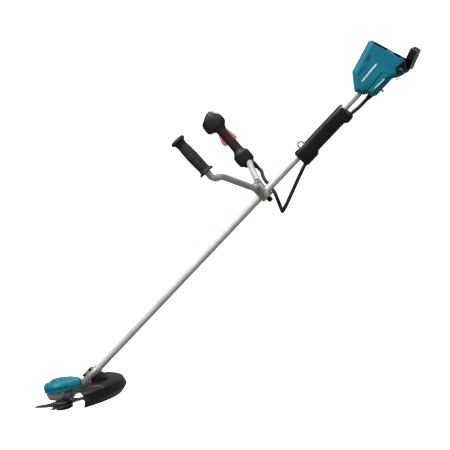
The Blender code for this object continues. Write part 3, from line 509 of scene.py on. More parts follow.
def soft_rubber(name, colour):
    """Matt rubber with a dusty bloom and a pebbled skin."""
    material = bpy.data.materials.new(name)
    material.use_nodes = True
    nodes, links = material.node_tree.nodes, material.node_tree.links
    shader = nodes["Principled BSDF"]
    shader.label = "Matt rubber"
    shader.inputs["Specular IOR Level"].default_value = 0.42
    shader.inputs["Sheen Weight"].default_value = 0.04
    shader.inputs["Sheen Roughness"].default_value = 0.5

    bloom_frame = nodes.new("NodeFrame")
    bloom_frame.label = "Dusty bloom"
    skin = nodes.new("NodeFrame")
    skin.label = "Pebbled skin"
    place = nodes.new("ShaderNodeTexCoord")
    place.label = "The tool's own coordinates"
    bloom = nodes.new("ShaderNodeTexNoise")
    bloom.label = "Where dust has settled"
    bloom.inputs["Scale"].default_value = 55.0
    bloom.inputs["Detail"].default_value = 6.0
    bloom.inputs["Roughness"].default_value = 0.6
    shade = nodes.new("ShaderNodeValToRGB")
    shade.label = "Clean rubber to dusty rubber"
    shade.color_ramp.elements[0].position = 0.42
    shade.color_ramp.elements[0].color = (*colour, 1)
    shade.color_ramp.elements[1].position = 0.85
    shade.color_ramp.elements[1].color = (*[c * 1.9 + 0.006 for c in colour], 1)
    dull = nodes.new("ShaderNodeMapRange")
    dull.label = "Dusty patches are duller"
    dull.inputs["To Min"].default_value = 0.5
    dull.inputs["To Max"].default_value = 0.78
    pebbles = nodes.new("ShaderNodeTexVoronoi")
    pebbles.label = "Pebbles under a millimetre"
    pebbles.feature = 'SMOOTH_F1'
    pebbles.inputs["Scale"].default_value = 1300.0
    relief = nodes.new("ShaderNodeBump")
    relief.label = "Height of the pebbles"
    relief.inputs["Strength"].default_value = 0.4
    relief.inputs["Distance"].default_value = 0.00012
    spots = ((place, None, (-1200, 0)), (bloom, bloom_frame, (-900, 250)), (shade, bloom_frame, (-680, 250)),
             (dull, bloom_frame, (-680, -30)), (pebbles, skin, (-680, -330)), (relief, skin, (-460, -330)))
    for node, group, spot in spots:
        node.parent = group
        node.location = spot
    links.new(place.outputs["Object"], bloom.inputs["Vector"])
    links.new(bloom.outputs["Fac"], shade.inputs["Fac"])
    links.new(shade.outputs["Color"], shader.inputs["Base Color"])
    links.new(bloom.outputs["Fac"], dull.inputs["Value"])
    links.new(dull.outputs["Result"], shader.inputs["Roughness"])
    links.new(place.outputs["Object"], pebbles.inputs["Vector"])
    links.new(pebbles.outputs["Distance"], relief.inputs["Height"])
    links.new(relief.outputs["Normal"], shader.inputs["Normal"])
    return material


def drawn_metal(name, colour, roughness, metallic, streaks, stretch):
    """Drawn or turned metal: long die lines along the tube, slow haze and a few bright rubs."""
    material = bpy.data.materials.new(name)
    material.use_nodes = True
    nodes, links = material.node_tree.nodes, material.node_tree.links
    shader = nodes["Principled BSDF"]
    shader.label = "Drawn metal"
    shader.inputs["Metallic"].default_value = metallic

    lines = nodes.new("NodeFrame")
    lines.label = "Die lines along the piece"
    haze = nodes.new("NodeFrame")
    haze.label = "Haze and rubs"
    place = nodes.new("ShaderNodeTexCoord")
    place.label = "The tool's own coordinates"
    along = nodes.new("ShaderNodeMapping")
    along.label = "Lay the tube along x and stretch the lines"
    along.vector_type = 'TEXTURE'
    along.inputs["Rotation"].default_value = (0.0, -math.radians(SHAFT_TILT), 0.0)
    along.inputs["Scale"].default_value = stretch
    die = nodes.new("ShaderNodeTexNoise")
    die.label = "Fine die lines"
    die.inputs["Scale"].default_value = 950.0
    die.inputs["Detail"].default_value = 3.0
    relief = nodes.new("ShaderNodeBump")
    relief.label = "Depth of the die lines"
    relief.inputs["Strength"].default_value = streaks
    relief.inputs["Distance"].default_value = 0.00005
    cloud = nodes.new("ShaderNodeTexNoise")
    cloud.label = "Slow haze of the coating"
    cloud.inputs["Scale"].default_value = 26.0
    cloud.inputs["Detail"].default_value = 5.0
    shade = nodes.new("ShaderNodeValToRGB")
    shade.label = "Haze tints the metal"
    shade.color_ramp.elements[0].position = 0.28
    shade.color_ramp.elements[0].color = (*[c * 0.88 for c in colour], 1)
    shade.color_ramp.elements[1].position = 0.74
    shade.color_ramp.elements[1].color = (*[min(1.0, c * 1.06) for c in colour], 1)
    line_tone = nodes.new("ShaderNodeMapRange")
    line_tone.label = "Die lines catch the light"
    line_tone.inputs["To Min"].default_value = 0.9
    line_tone.inputs["To Max"].default_value = 1.06
    toned = nodes.new("ShaderNodeMix")
    toned.label = "Haze with die lines"
    toned.data_type = 'RGBA'
    toned.blend_type = 'MULTIPLY'
    toned.inputs["Factor"].default_value = 1.0
    gloss = nodes.new("ShaderNodeMapRange")
    gloss.label = "Roughness of the haze"
    gloss.inputs["To Min"].default_value = roughness - 0.08
    gloss.inputs["To Max"].default_value = roughness + 0.1
    spots = ((place, None, (-1500, 0)), (along, lines, (-1240, -260)), (die, lines, (-1040, -260)),
             (relief, lines, (-620, -420)), (line_tone, lines, (-820, -200)), (cloud, haze, (-1040, 260)),
             (shade, haze, (-820, 260)), (toned, haze, (-480, 220)), (gloss, haze, (-820, 0)))
    for node, group, spot in spots:
        node.parent = group
        node.location = spot
    links.new(place.outputs["Object"], along.inputs["Vector"])
    links.new(along.outputs["Vector"], die.inputs["Vector"])
    links.new(die.outputs["Fac"], relief.inputs["Height"])
    links.new(die.outputs["Fac"], line_tone.inputs["Value"])
    links.new(place.outputs["Object"], cloud.inputs["Vector"])
    links.new(cloud.outputs["Fac"], shade.inputs["Fac"])
    links.new(cloud.outputs["Fac"], gloss.inputs["Value"])
    links.new(shade.outputs["Color"], toned.inputs["A"])
    links.new(line_tone.outputs["Result"], toned.inputs["B"])
    links.new(toned.outputs["Result"], shader.inputs["Base Color"])
    links.new(gloss.outputs["Result"], shader.inputs["Roughness"])
    links.new(relief.outputs["Normal"], shader.inputs["Normal"])
    return material


def cast_metal(name, colour, roughness):
    """Blasted die casting: orange-peel skin, scattered soot stains, bright rubbed edges."""
    material = bpy.data.materials.new(name)
    material.use_nodes = True
    nodes, links = material.node_tree.nodes, material.node_tree.links
    shader = nodes["Principled BSDF"]
    shader.label = "Die casting"
    shader.inputs["Metallic"].default_value = 0.82

    skin = nodes.new("NodeFrame")
    skin.label = "Blasted skin"
    edges = nodes.new("NodeFrame")
    edges.label = "Rubbed edges"
    stain = nodes.new("NodeFrame")
    stain.label = "Stains of the casting"
    place = nodes.new("ShaderNodeTexCoord")
    place.label = "The tool's own coordinates"
    peel = nodes.new("ShaderNodeTexNoise")
    peel.label = "Orange peel of the casting"
    peel.inputs["Scale"].default_value = 620.0
    peel.inputs["Detail"].default_value = 6.0
    relief = nodes.new("ShaderNodeBump")
    relief.label = "Height of the skin"
    relief.inputs["Strength"].default_value = 0.5
    relief.inputs["Distance"].default_value = 0.0002
    soot = nodes.new("ShaderNodeTexNoise")
    soot.label = "Die lubricant stains"
    soot.inputs["Scale"].default_value = 48.0
    soot.inputs["Detail"].default_value = 7.0
    soot.inputs["Roughness"].default_value = 0.62
    shade = nodes.new("ShaderNodeValToRGB")
    shade.label = "Stained to clean metal"
    shade.color_ramp.elements[0].position = 0.3
    shade.color_ramp.elements[0].color = (*[c * 0.68 for c in colour], 1)
    shade.color_ramp.elements[1].position = 0.66
    shade.color_ramp.elements[1].color = (*colour, 1)
    facing = nodes.new("ShaderNodeNewGeometry")
    facing.label = "Surface as made"
    softened = nodes.new("ShaderNodeBevel")
    softened.label = "Surface with soft edges"
    softened.samples = 4
    softened.inputs["Radius"].default_value = 0.0009
    agree = nodes.new("ShaderNodeVectorMath")
    agree.label = "Do the two agree"
    agree.operation = 'DOT_PRODUCT'
    rubbed = nodes.new("ShaderNodeMapRange")
    rubbed.label = "Edges rubbed bright"
    rubbed.inputs["From Min"].default_value = 0.985
    rubbed.inputs["From Max"].default_value = 0.9
    bright = nodes.new("ShaderNodeMix")
    bright.label = "Bright metal on the edges"
    bright.data_type = 'RGBA'
    bright.inputs["B"].default_value = (*[min(1.0, c * 1.45 + 0.04) for c in colour], 1)
    gloss = nodes.new("ShaderNodeMapRange")
    gloss.label = "Stains are duller"
    gloss.inputs["To Min"].default_value = roughness + 0.12
    gloss.inputs["To Max"].default_value = roughness - 0.08
    spots = ((place, None, (-1500, 0)), (soot, stain, (-1180, 320)), (shade, stain, (-960, 320)),
             (gloss, stain, (-700, 120)), (facing, edges, (-1180, -20)), (softened, edges, (-1180, -260)),
             (agree, edges, (-960, -120)), (rubbed, edges, (-780, -120)), (bright, edges, (-440, 260)),
             (peel, skin, (-960, -480)), (relief, skin, (-700, -480)))
    for node, group, spot in spots:
        node.parent = group
        node.location = spot
    links.new(place.outputs["Object"], soot.inputs["Vector"])
    links.new(soot.outputs["Fac"], shade.inputs["Fac"])
    links.new(soot.outputs["Fac"], gloss.inputs["Value"])
    links.new(facing.outputs["Normal"], agree.inputs[0])
    links.new(softened.outputs["Normal"], agree.inputs[1])
    links.new(agree.outputs["Value"], rubbed.inputs["Value"])
    links.new(rubbed.outputs["Result"], bright.inputs["Factor"])
    links.new(shade.outputs["Color"], bright.inputs["A"])
    links.new(bright.outputs["Result"], shader.inputs["Base Color"])
    links.new(gloss.outputs["Result"], shader.inputs["Roughness"])
    links.new(place.outputs["Object"], peel.inputs["Vector"])
    links.new(peel.outputs["Fac"], relief.inputs["Height"])
    links.new(relief.outputs["Normal"], shader.inputs["Normal"])
    return material


def plain_steel(name, colour, roughness, ring_scale=900.0):
    """Turned or heat-treated steel: ring marks round the spindle, faint heat colour and oil film."""
    material = bpy.data.materials.new(name)
    material.use_nodes = True
    nodes, links = material.node_tree.nodes, material.node_tree.links
    shader = nodes["Principled BSDF"]
    shader.label = "Steel"
    shader.inputs["Metallic"].default_value = 0.95

    marks = nodes.new("NodeFrame")
    marks.label = "Grinding marks"
    film = nodes.new("NodeFrame")
    film.label = "Oil film and heat colour"
    place = nodes.new("ShaderNodeTexCoord")
    place.label = "The tool's own coordinates"
    spindle = nodes.new("ShaderNodeMapping")
    spindle.label = "Stand the spindle upright"
    spindle.vector_type = 'TEXTURE'
    spindle.inputs["Location"].default_value = HEAD.translation
    spindle.inputs["Rotation"].default_value = (0.0, -math.radians(SHAFT_TILT - HEAD_TILT), 0.0)
    rings = nodes.new("ShaderNodeTexWave")
    rings.label = "Rings left by grinding"
    rings.wave_type = 'RINGS'
    rings.rings_direction = 'Z'
    rings.inputs["Scale"].default_value = ring_scale
    rings.inputs["Distortion"].default_value = 6.0
    rings.inputs["Detail"].default_value = 3.0
    relief = nodes.new("ShaderNodeBump")
    relief.label = "Depth of the marks"
    relief.inputs["Strength"].default_value = 0.25
    relief.inputs["Distance"].default_value = 0.00005
    oil = nodes.new("ShaderNodeTexNoise")
    oil.label = "Oil film"
    oil.inputs["Scale"].default_value = 38.0
    oil.inputs["Detail"].default_value = 6.0
    shade = nodes.new("ShaderNodeValToRGB")
    shade.label = "Steel under the film"
    shade.color_ramp.elements[0].position = 0.32
    shade.color_ramp.elements[0].color = (*[c * 0.78 for c in colour], 1)
    shade.color_ramp.elements[1].position = 0.7
    shade.color_ramp.elements[1].color = (*[min(1.0, c * 1.12) for c in colour], 1)
    gloss = nodes.new("ShaderNodeMapRange")
    gloss.label = "Film evens out the gloss"
    gloss.inputs["To Min"].default_value = roughness - 0.08
    gloss.inputs["To Max"].default_value = roughness + 0.12
    spots = ((place, None, (-1400, 0)), (spindle, marks, (-1180, -260)), (rings, marks, (-960, -260)),
             (relief, marks, (-700, -260)), (oil, film, (-960, 240)), (shade, film, (-700, 240)),
             (gloss, film, (-700, 0)))
    for node, group, spot in spots:
        node.parent = group
        node.location = spot
    links.new(place.outputs["Object"], spindle.inputs["Vector"])
    links.new(spindle.outputs["Vector"], rings.inputs["Vector"])
    links.new(rings.outputs["Fac"], relief.inputs["Height"])
    links.new(place.outputs["Object"], oil.inputs["Vector"])
    links.new(oil.outputs["Fac"], shade.inputs["Fac"])
    links.new(oil.outputs["Fac"], gloss.inputs["Value"])
    links.new(shade.outputs["Color"], shader.inputs["Base Color"])
    links.new(gloss.outputs["Result"], shader.inputs["Roughness"])
    links.new(relief.outputs["Normal"], shader.inputs["Normal"])
    return material


def banded(name, first, second, scale, metallic, roughness):
    """Bands of two colours: enamelled winding wire, or tracks under a board's lacquer."""
    material = bpy.data.materials.new(name)
    material.use_nodes = True
    nodes, links = material.node_tree.nodes, material.node_tree.links
    shader = nodes["Principled BSDF"]
    shader.label = "Lacquered bands"
    shader.inputs["Metallic"].default_value = metallic
    shader.inputs["Roughness"].default_value = roughness
    shader.inputs["Coat Weight"].default_value = 0.4
    group = nodes.new("NodeFrame")
    group.label = "Wires or tracks"
    place = nodes.new("ShaderNodeTexCoord")
    place.label = "The tool's own coordinates"
    bands = nodes.new("ShaderNodeTexWave")
    bands.label = "Side by side"
    bands.bands_direction = 'DIAGONAL'
    bands.inputs["Scale"].default_value = scale
    bands.inputs["Distortion"].default_value = 1.5
    shade = nodes.new("ShaderNodeValToRGB")
    shade.label = "From one colour to the other"
    shade.color_ramp.elements[0].color = (*first, 1)
    shade.color_ramp.elements[1].color = (*second, 1)
    relief = nodes.new("ShaderNodeBump")
    relief.label = "Round of each wire"
    relief.inputs["Strength"].default_value = 0.5
    relief.inputs["Distance"].default_value = 0.0003
    spots = ((place, None, (-1000, 0)), (bands, group, (-760, 0)), (shade, group, (-520, 120)),
             (relief, group, (-520, -160)))
    for node, parent, spot in spots:
        node.parent = parent
        node.location = spot
    links.new(place.outputs["Object"], bands.inputs["Vector"])
    links.new(bands.outputs["Fac"], shade.inputs["Fac"])
    links.new(bands.outputs["Fac"], relief.inputs["Height"])
    links.new(shade.outputs["Color"], shader.inputs["Base Color"])
    links.new(relief.outputs["Normal"], shader.inputs["Normal"])
    return material


def studio_paper(name, colour, glow):
    """Seamless studio paper, lit a little from behind."""
    material = bpy.data.materials.new(name)
    material.use_nodes = True
    nodes, links = material.node_tree.nodes, material.node_tree.links
    shader = nodes["Principled BSDF"]
    shader.label = "Studio paper"
    shader.inputs["Roughness"].default_value = 0.9
    shader.inputs["Specular IOR Level"].default_value = 0.1
    shader.inputs["Emission Color"].default_value = (1.0, 1.0, 1.0, 1.0)
    shader.inputs["Emission Strength"].default_value = glow
    place = nodes.new("ShaderNodeTexCoord")
    place.label = "Paper's own coordinates"
    pulp = nodes.new("ShaderNodeTexNoise")
    pulp.label = "Faint cloudiness of the pulp"
    pulp.inputs["Scale"].default_value = 3.0
    shade = nodes.new("ShaderNodeValToRGB")
    shade.label = "Nearly even white"
    shade.color_ramp.elements[0].color = (*[c * 0.985 for c in colour], 1)
    shade.color_ramp.elements[1].color = (*colour, 1)
    for node, spot in ((place, (-900, 0)), (pulp, (-680, 0)), (shade, (-460, 0))):
        node.location = spot
    links.new(place.outputs["Object"], pulp.inputs["Vector"])
    links.new(pulp.outputs["Fac"], shade.inputs["Fac"])
    links.new(shade.outputs["Color"], shader.inputs["Base Color"])
    return material


FINISHES = {}


def finishes():
    """Every finish of the tool, made once from the colours in the panel."""
    if not FINISHES:
        paint = bpy.context.scene.cutter_colours
        FINISHES.update({
            "teal": moulded_plastic("Teal moulding", paint.teal, 0.4, 0.25, reflection=0.38),
            "black": moulded_plastic("Black moulding", paint.black, 0.42, 0.45, reflection=0.32),
            "gloss_black": moulded_plastic("Glossy black moulding", paint.black, 0.3, 0.15, 0.15, 0.35),
            "red": moulded_plastic("Red moulding", paint.red, 0.4, 0.25),
            "panel": moulded_plastic("Grey printed panel", paint.panel, 0.45, 0.2),
            "print": moulded_plastic("White print", (0.78, 0.79, 0.8), 0.5, 0.1),
            "strip": moulded_plastic("Grey strip", (0.16, 0.16, 0.165), 0.5, 0.15),
            "rubber": soft_rubber("Grip rubber", (0.0045, 0.0045, 0.0045)),
            "tube": drawn_metal("Anodised tube", paint.tube, 0.38, 0.35, 0.2, (60.0, 1.0, 1.0)),
            "bar": drawn_metal("Painted bar", paint.bar, 0.4, 0.4, 0.12, (1.0, 40.0, 40.0)),
            "cast": cast_metal("Cast aluminium", paint.cast, 0.42),
            "blade": plain_steel("Blade steel", (0.055, 0.047, 0.041), 0.34),
            "ground": plain_steel("Ground edge", (0.55, 0.54, 0.52), 0.28, 1500.0),
            "bright": plain_steel("Bright steel", (0.6, 0.6, 0.6), 0.24),
            "dark": plain_steel("Blackened steel", (0.045, 0.045, 0.047), 0.36),
            "copper": banded("Copper winding", (0.28, 0.1, 0.04), (0.72, 0.34, 0.15), 420.0, 0.9, 0.3),
            "board": banded("Circuit board", (0.012, 0.09, 0.03), (0.03, 0.2, 0.07), 160.0, 0.0, 0.35),
        })
    return FINISHES


# ---- repeated shapes ------------------------------------------------------------------------
def ringed_cover():
    """Node tree: a skin along a curve, with even rings across it; the curve's radius shapes it."""
    tree = bpy.data.node_groups.get("Ringed cover")
    if tree:
        return tree
    tree = bpy.data.node_groups.new("Ringed cover", "GeometryNodeTree")
    sockets = tree.interface
    sockets.new_socket("Route", in_out='INPUT', socket_type='NodeSocketGeometry')
    for name, default in (("Radius", 6.5 * MM), ("Ring pitch", 3.0 * MM), ("Ring depth", 0.09)):
        sockets.new_socket(name, in_out='INPUT', socket_type='NodeSocketFloat').default_value = default
    sockets.new_socket("Sides", in_out='INPUT', socket_type='NodeSocketInt').default_value = 24
    sockets.new_socket("Finish", in_out='INPUT', socket_type='NodeSocketMaterial')
    sockets.new_socket("Cover", in_out='OUTPUT', socket_type='NodeSocketGeometry')
    nodes, links = tree.nodes, tree.links
    given = nodes.new("NodeGroupInput")
    given.label = "Route and sizes"
    finer = nodes.new("ShaderNodeMath")
    finer.label = "Six steps to a ring"
    finer.operation = 'DIVIDE'
    finer.inputs[1].default_value = 6.0
    even = nodes.new("GeometryNodeResampleCurve")
    even.label = "Even steps"
    even.mode = 'LENGTH'
    travelled = nodes.new("GeometryNodeSplineParameter")
    travelled.label = "Distance from the start"
    rings = nodes.new("ShaderNodeMath")
    rings.label = "Rings passed"
    rings.operation = 'DIVIDE'
    angle = nodes.new("ShaderNodeMath")
    angle.label = "One turn for each ring"
    angle.operation = 'MULTIPLY'
    angle.inputs[1].default_value = 2 * math.pi
    wave = nodes.new("ShaderNodeMath")
    wave.label = "In and out"
    wave.operation = 'COSINE'
    lift = nodes.new("ShaderNodeMath")
    lift.label = "From the crest inwards"
    lift.operation = 'SUBTRACT'
    lift.inputs[1].default_value = 1.0
    depth = nodes.new("ShaderNodeMath")
    depth.label = "Depth of the rings"
    depth.operation = 'MULTIPLY'
    half = nodes.new("ShaderNodeMath")
    half.label = "Half the wave, about one"
    half.operation = 'MULTIPLY_ADD'
    half.inputs[1].default_value = 0.5
    half.inputs[2].default_value = 1.0
    own = nodes.new("GeometryNodeInputRadius")
    own.label = "Shape of the curve"
    both = nodes.new("ShaderNodeMath")
    both.label = "Shape with rings"
    both.operation = 'MULTIPLY'
    circle = nodes.new("GeometryNodeCurvePrimitiveCircle")
    circle.label = "Section"
    skin = nodes.new("GeometryNodeCurveToMesh")
    skin.label = "Skin along the route"
    skin.inputs["Fill Caps"].default_value = True
    real = nodes.new("GeometryNodeRealizeInstances")
    real.label = "One mesh"
    finish = nodes.new("GeometryNodeSetMaterial")
    finish.label = "Finish"
    result = nodes.new("NodeGroupOutput")
    result.label = "Cover"
    row = (given, finer, even, travelled, rings, angle, wave, lift, depth, half, own, both, circle, skin, real,
           finish, result)
    for index, node in enumerate(row):
        node.location = (220 * index, -120 * (index % 3))
    links.new(given.outputs["Ring pitch"], finer.inputs[0])
    links.new(given.outputs["Route"], even.inputs["Curve"])
    links.new(finer.outputs[0], even.inputs["Length"])
    links.new(travelled.outputs["Length"], rings.inputs[0])
    links.new(given.outputs["Ring pitch"], rings.inputs[1])
    links.new(rings.outputs[0], angle.inputs[0])
    links.new(angle.outputs[0], wave.inputs[0])
    links.new(wave.outputs[0], lift.inputs[0])
    links.new(lift.outputs[0], depth.inputs[0])
    links.new(given.outputs["Ring depth"], depth.inputs[1])
    links.new(depth.outputs[0], half.inputs[0])
    links.new(half.outputs[0], both.inputs[0])
    links.new(own.outputs["Radius"], both.inputs[1])
    links.new(given.outputs["Sides"], circle.inputs["Resolution"])
    links.new(given.outputs["Radius"], circle.inputs["Radius"])
    links.new(even.outputs["Curve"], skin.inputs["Curve"])
    links.new(circle.outputs["Curve"], skin.inputs["Profile Curve"])
    links.new(both.outputs[0], skin.inputs["Scale"])
    links.new(skin.outputs["Mesh"], real.inputs["Geometry"])
    links.new(real.outputs["Geometry"], finish.inputs["Geometry"])
    links.new(given.outputs["Finish"], finish.inputs["Material"])
    links.new(finish.outputs["Geometry"], result.inputs["Cover"])
    return tree


def ringed(name, route, radii, radius, pitch, depth, sides, finish):
    """A ringed cover along points in metres, as a plain mesh object."""
    curve = bpy.data.curves.new(name + "_route", 'CURVE')
    curve.dimensions = '3D'
    line = curve.splines.new('POLY')
    line.points.add(len(route) - 1)
    for spot, point, swell in zip(line.points, route, radii):
        spot.co = (*point, 1.0)
        spot.radius = swell
    carrier = linked(name + "_route", curve)
    return grown(name, carrier, ringed_cover(), {"Radius": radius * MM, "Ring pitch": pitch * MM, "Ring depth": depth,
                                                 "Sides": sides, "Finish": finish})


def grown(name, carrier, tree, chosen):
    """What a node tree makes of a carrier with the chosen inputs, as a plain mesh; the carrier goes."""
    step = carrier.modifiers.new(tree.name, 'NODES')
    step.node_group = tree
    for socket in tree.interface.items_tree:
        if socket.in_out == 'INPUT' and socket.name in chosen:
            step[socket.identifier] = chosen[socket.name]
    graph = bpy.context.evaluated_depsgraph_get()
    mesh = bpy.data.meshes.new_from_object(carrier.evaluated_get(graph), depsgraph=graph)
    made = linked(name, mesh)
    bpy.data.objects.remove(carrier)
    return made


def repeated():
    """Node tree: one shape on every point, its z along the point's own direction."""
    tree = bpy.data.node_groups.get("Repeated shape")
    if tree:
        return tree
    tree = bpy.data.node_groups.new("Repeated shape", "GeometryNodeTree")
    sockets = tree.interface
    sockets.new_socket("Places", in_out='INPUT', socket_type='NodeSocketGeometry')
    sockets.new_socket("Shape", in_out='INPUT', socket_type='NodeSocketObject')
    sockets.new_socket("Size", in_out='INPUT', socket_type='NodeSocketFloat').default_value = 1.0
    sockets.new_socket("Finish", in_out='INPUT', socket_type='NodeSocketMaterial')
    sockets.new_socket("Row", in_out='OUTPUT', socket_type='NodeSocketGeometry')
    nodes, links = tree.nodes, tree.links
    given = nodes.new("NodeGroupInput")
    given.label = "Places and shape"
    up = nodes.new("GeometryNodeInputNamedAttribute")
    up.label = "Way each one points"
    up.data_type = 'FLOAT_VECTOR'
    up.inputs["Name"].default_value = "points_to"
    side = nodes.new("GeometryNodeInputNamedAttribute")
    side.label = "Way each one lies"
    side.data_type = 'FLOAT_VECTOR'
    side.inputs["Name"].default_value = "lies_along"
    turn = nodes.new("FunctionNodeAxesToRotation")
    turn.label = "Turn of each one"
    turn.primary_axis = 'Z'
    turn.secondary_axis = 'X'
    shape = nodes.new("GeometryNodeObjectInfo")
    shape.label = "Shape to repeat"
    spread = nodes.new("GeometryNodeInstanceOnPoints")
    spread.label = "One on every point"
    real = nodes.new("GeometryNodeRealizeInstances")
    real.label = "One mesh"
    finish = nodes.new("GeometryNodeSetMaterial")
    finish.label = "Finish"
    result = nodes.new("NodeGroupOutput")
    result.label = "Row"
    for index, node in enumerate((given, up, side, turn, shape, spread, real, finish, result)):
        node.location = (220 * index, -120 * (index % 3))
    links.new(up.outputs["Attribute"], turn.inputs["Primary Axis"])
    links.new(side.outputs["Attribute"], turn.inputs["Secondary Axis"])
    links.new(given.outputs["Shape"], shape.inputs["Object"])
    links.new(given.outputs["Places"], spread.inputs["Points"])
    links.new(shape.outputs["Geometry"], spread.inputs["Instance"])
    links.new(turn.outputs["Rotation"], spread.inputs["Rotation"])
    links.new(given.outputs["Size"], spread.inputs["Scale"])
    links.new(spread.outputs["Instances"], real.inputs["Geometry"])
    links.new(real.outputs["Geometry"], finish.inputs["Geometry"])
    links.new(given.outputs["Finish"], finish.inputs["Material"])
    links.new(finish.outputs["Geometry"], result.inputs["Row"])
    return tree


def row_of(name, shape, spots, place, finish):
    """Copies of a millimetre shape at (spot, direction, sideways) places in a design frame."""
    bmesh.ops.scale(shape, verts=shape.verts, vec=(MM, MM, MM))
    bmesh.ops.recalc_face_normals(shape, faces=shape.faces)
    model = linked(name + "_shape", mesh_of(name + "_shape", shape))
    points = bpy.data.meshes.new(name + "_places")
    points.from_pydata([place @ Vector(spot) for spot, _, _ in spots], [], [])
    for label, column in (("points_to", 1), ("lies_along", 2)):
        way = points.attributes.new(label, 'FLOAT_VECTOR', 'POINT')
        for index, spot in enumerate(spots):
            way.data[index].vector = (place.to_3x3() @ Vector(spot[column])).normalized()
    carrier = linked(name + "_places", points)
    made = grown(name, carrier, repeated(), {"Shape": model, "Finish": finish})
    bpy.data.objects.remove(model)
    return made


def cap_screw(head_radius, head_height, shank_radius, shank_length):
    """A socket-head screw: the underside of its head at the origin, its head along +z."""
    key = head_radius * 0.52
    return turned([(0, head_height * 0.35), (key, head_height * 0.45), (key, head_height),
                   (head_radius * 0.86, head_height), (head_radius, head_height * 0.8), (head_radius, 0),
                   (shank_radius, 0), (shank_radius, -shank_length), (0, -shank_length)], 24)


# ---- settings -------------------------------------------------------------------------------
class CutterSizes(bpy.types.PropertyGroup):
    """Sizes of the visible pieces."""
    tube_radius: bpy.props.FloatProperty(
        name="Tube radius", description="Outer radius of the main tube", default=TUBE_RADIUS * MM, min=0.008, max=0.02,
        unit='LENGTH')
    bar_radius: bpy.props.FloatProperty(
        name="Bar radius", description="Outer radius of the handlebar", default=0.011, min=0.008, max=0.016,
        unit='LENGTH')
    cable_radius: bpy.props.FloatProperty(
        name="Cable radius", description="Outer radius of the control cable's cover", default=0.0065, min=0.002,
        max=0.01, unit='LENGTH')
    ring_pitch: bpy.props.FloatProperty(
        name="Cable ring pitch", description="Distance from ring to ring of the cable's cover", default=0.0032,
        min=0.001, max=0.01, unit='LENGTH')
    blade_radius: bpy.props.FloatProperty(
        name="Blade radius", description="Distance from the spindle to a tooth's tip", default=0.115, min=0.08,
        max=0.13, unit='LENGTH')
    floor_drop: bpy.props.FloatProperty(
        name="Floor below the tool", description="Height that the tool hangs at", default=0.3, min=0.0, max=1.0,
        unit='LENGTH')


class CutterColours(bpy.types.PropertyGroup):
    """Base colours of the finishes, linear."""
    teal: bpy.props.FloatVectorProperty(
        name="Teal", description="Housing and motor cap", subtype='COLOR', default=(0.0, 0.165, 0.235))
    black: bpy.props.FloatVectorProperty(
        name="Black", description="Moulded black pieces", subtype='COLOR', default=(0.0035, 0.0035, 0.0037))
    red: bpy.props.FloatVectorProperty(
        name="Red", description="Trigger, lever and power button", subtype='COLOR', default=(0.56, 0.1, 0.085))
    panel: bpy.props.FloatVectorProperty(
        name="Grey", description="Button panel", subtype='COLOR', default=(0.5, 0.51, 0.52))
    tube: bpy.props.FloatVectorProperty(
        name="Tube", description="Main tube", subtype='COLOR', default=(0.74, 0.725, 0.67))
    bar: bpy.props.FloatVectorProperty(
        name="Bar", description="Handlebar", subtype='COLOR', default=(0.54, 0.53, 0.5))
    cast: bpy.props.FloatVectorProperty(
        name="Casting", description="Motor base, neck and clamp", subtype='COLOR', default=(0.52, 0.49, 0.44))


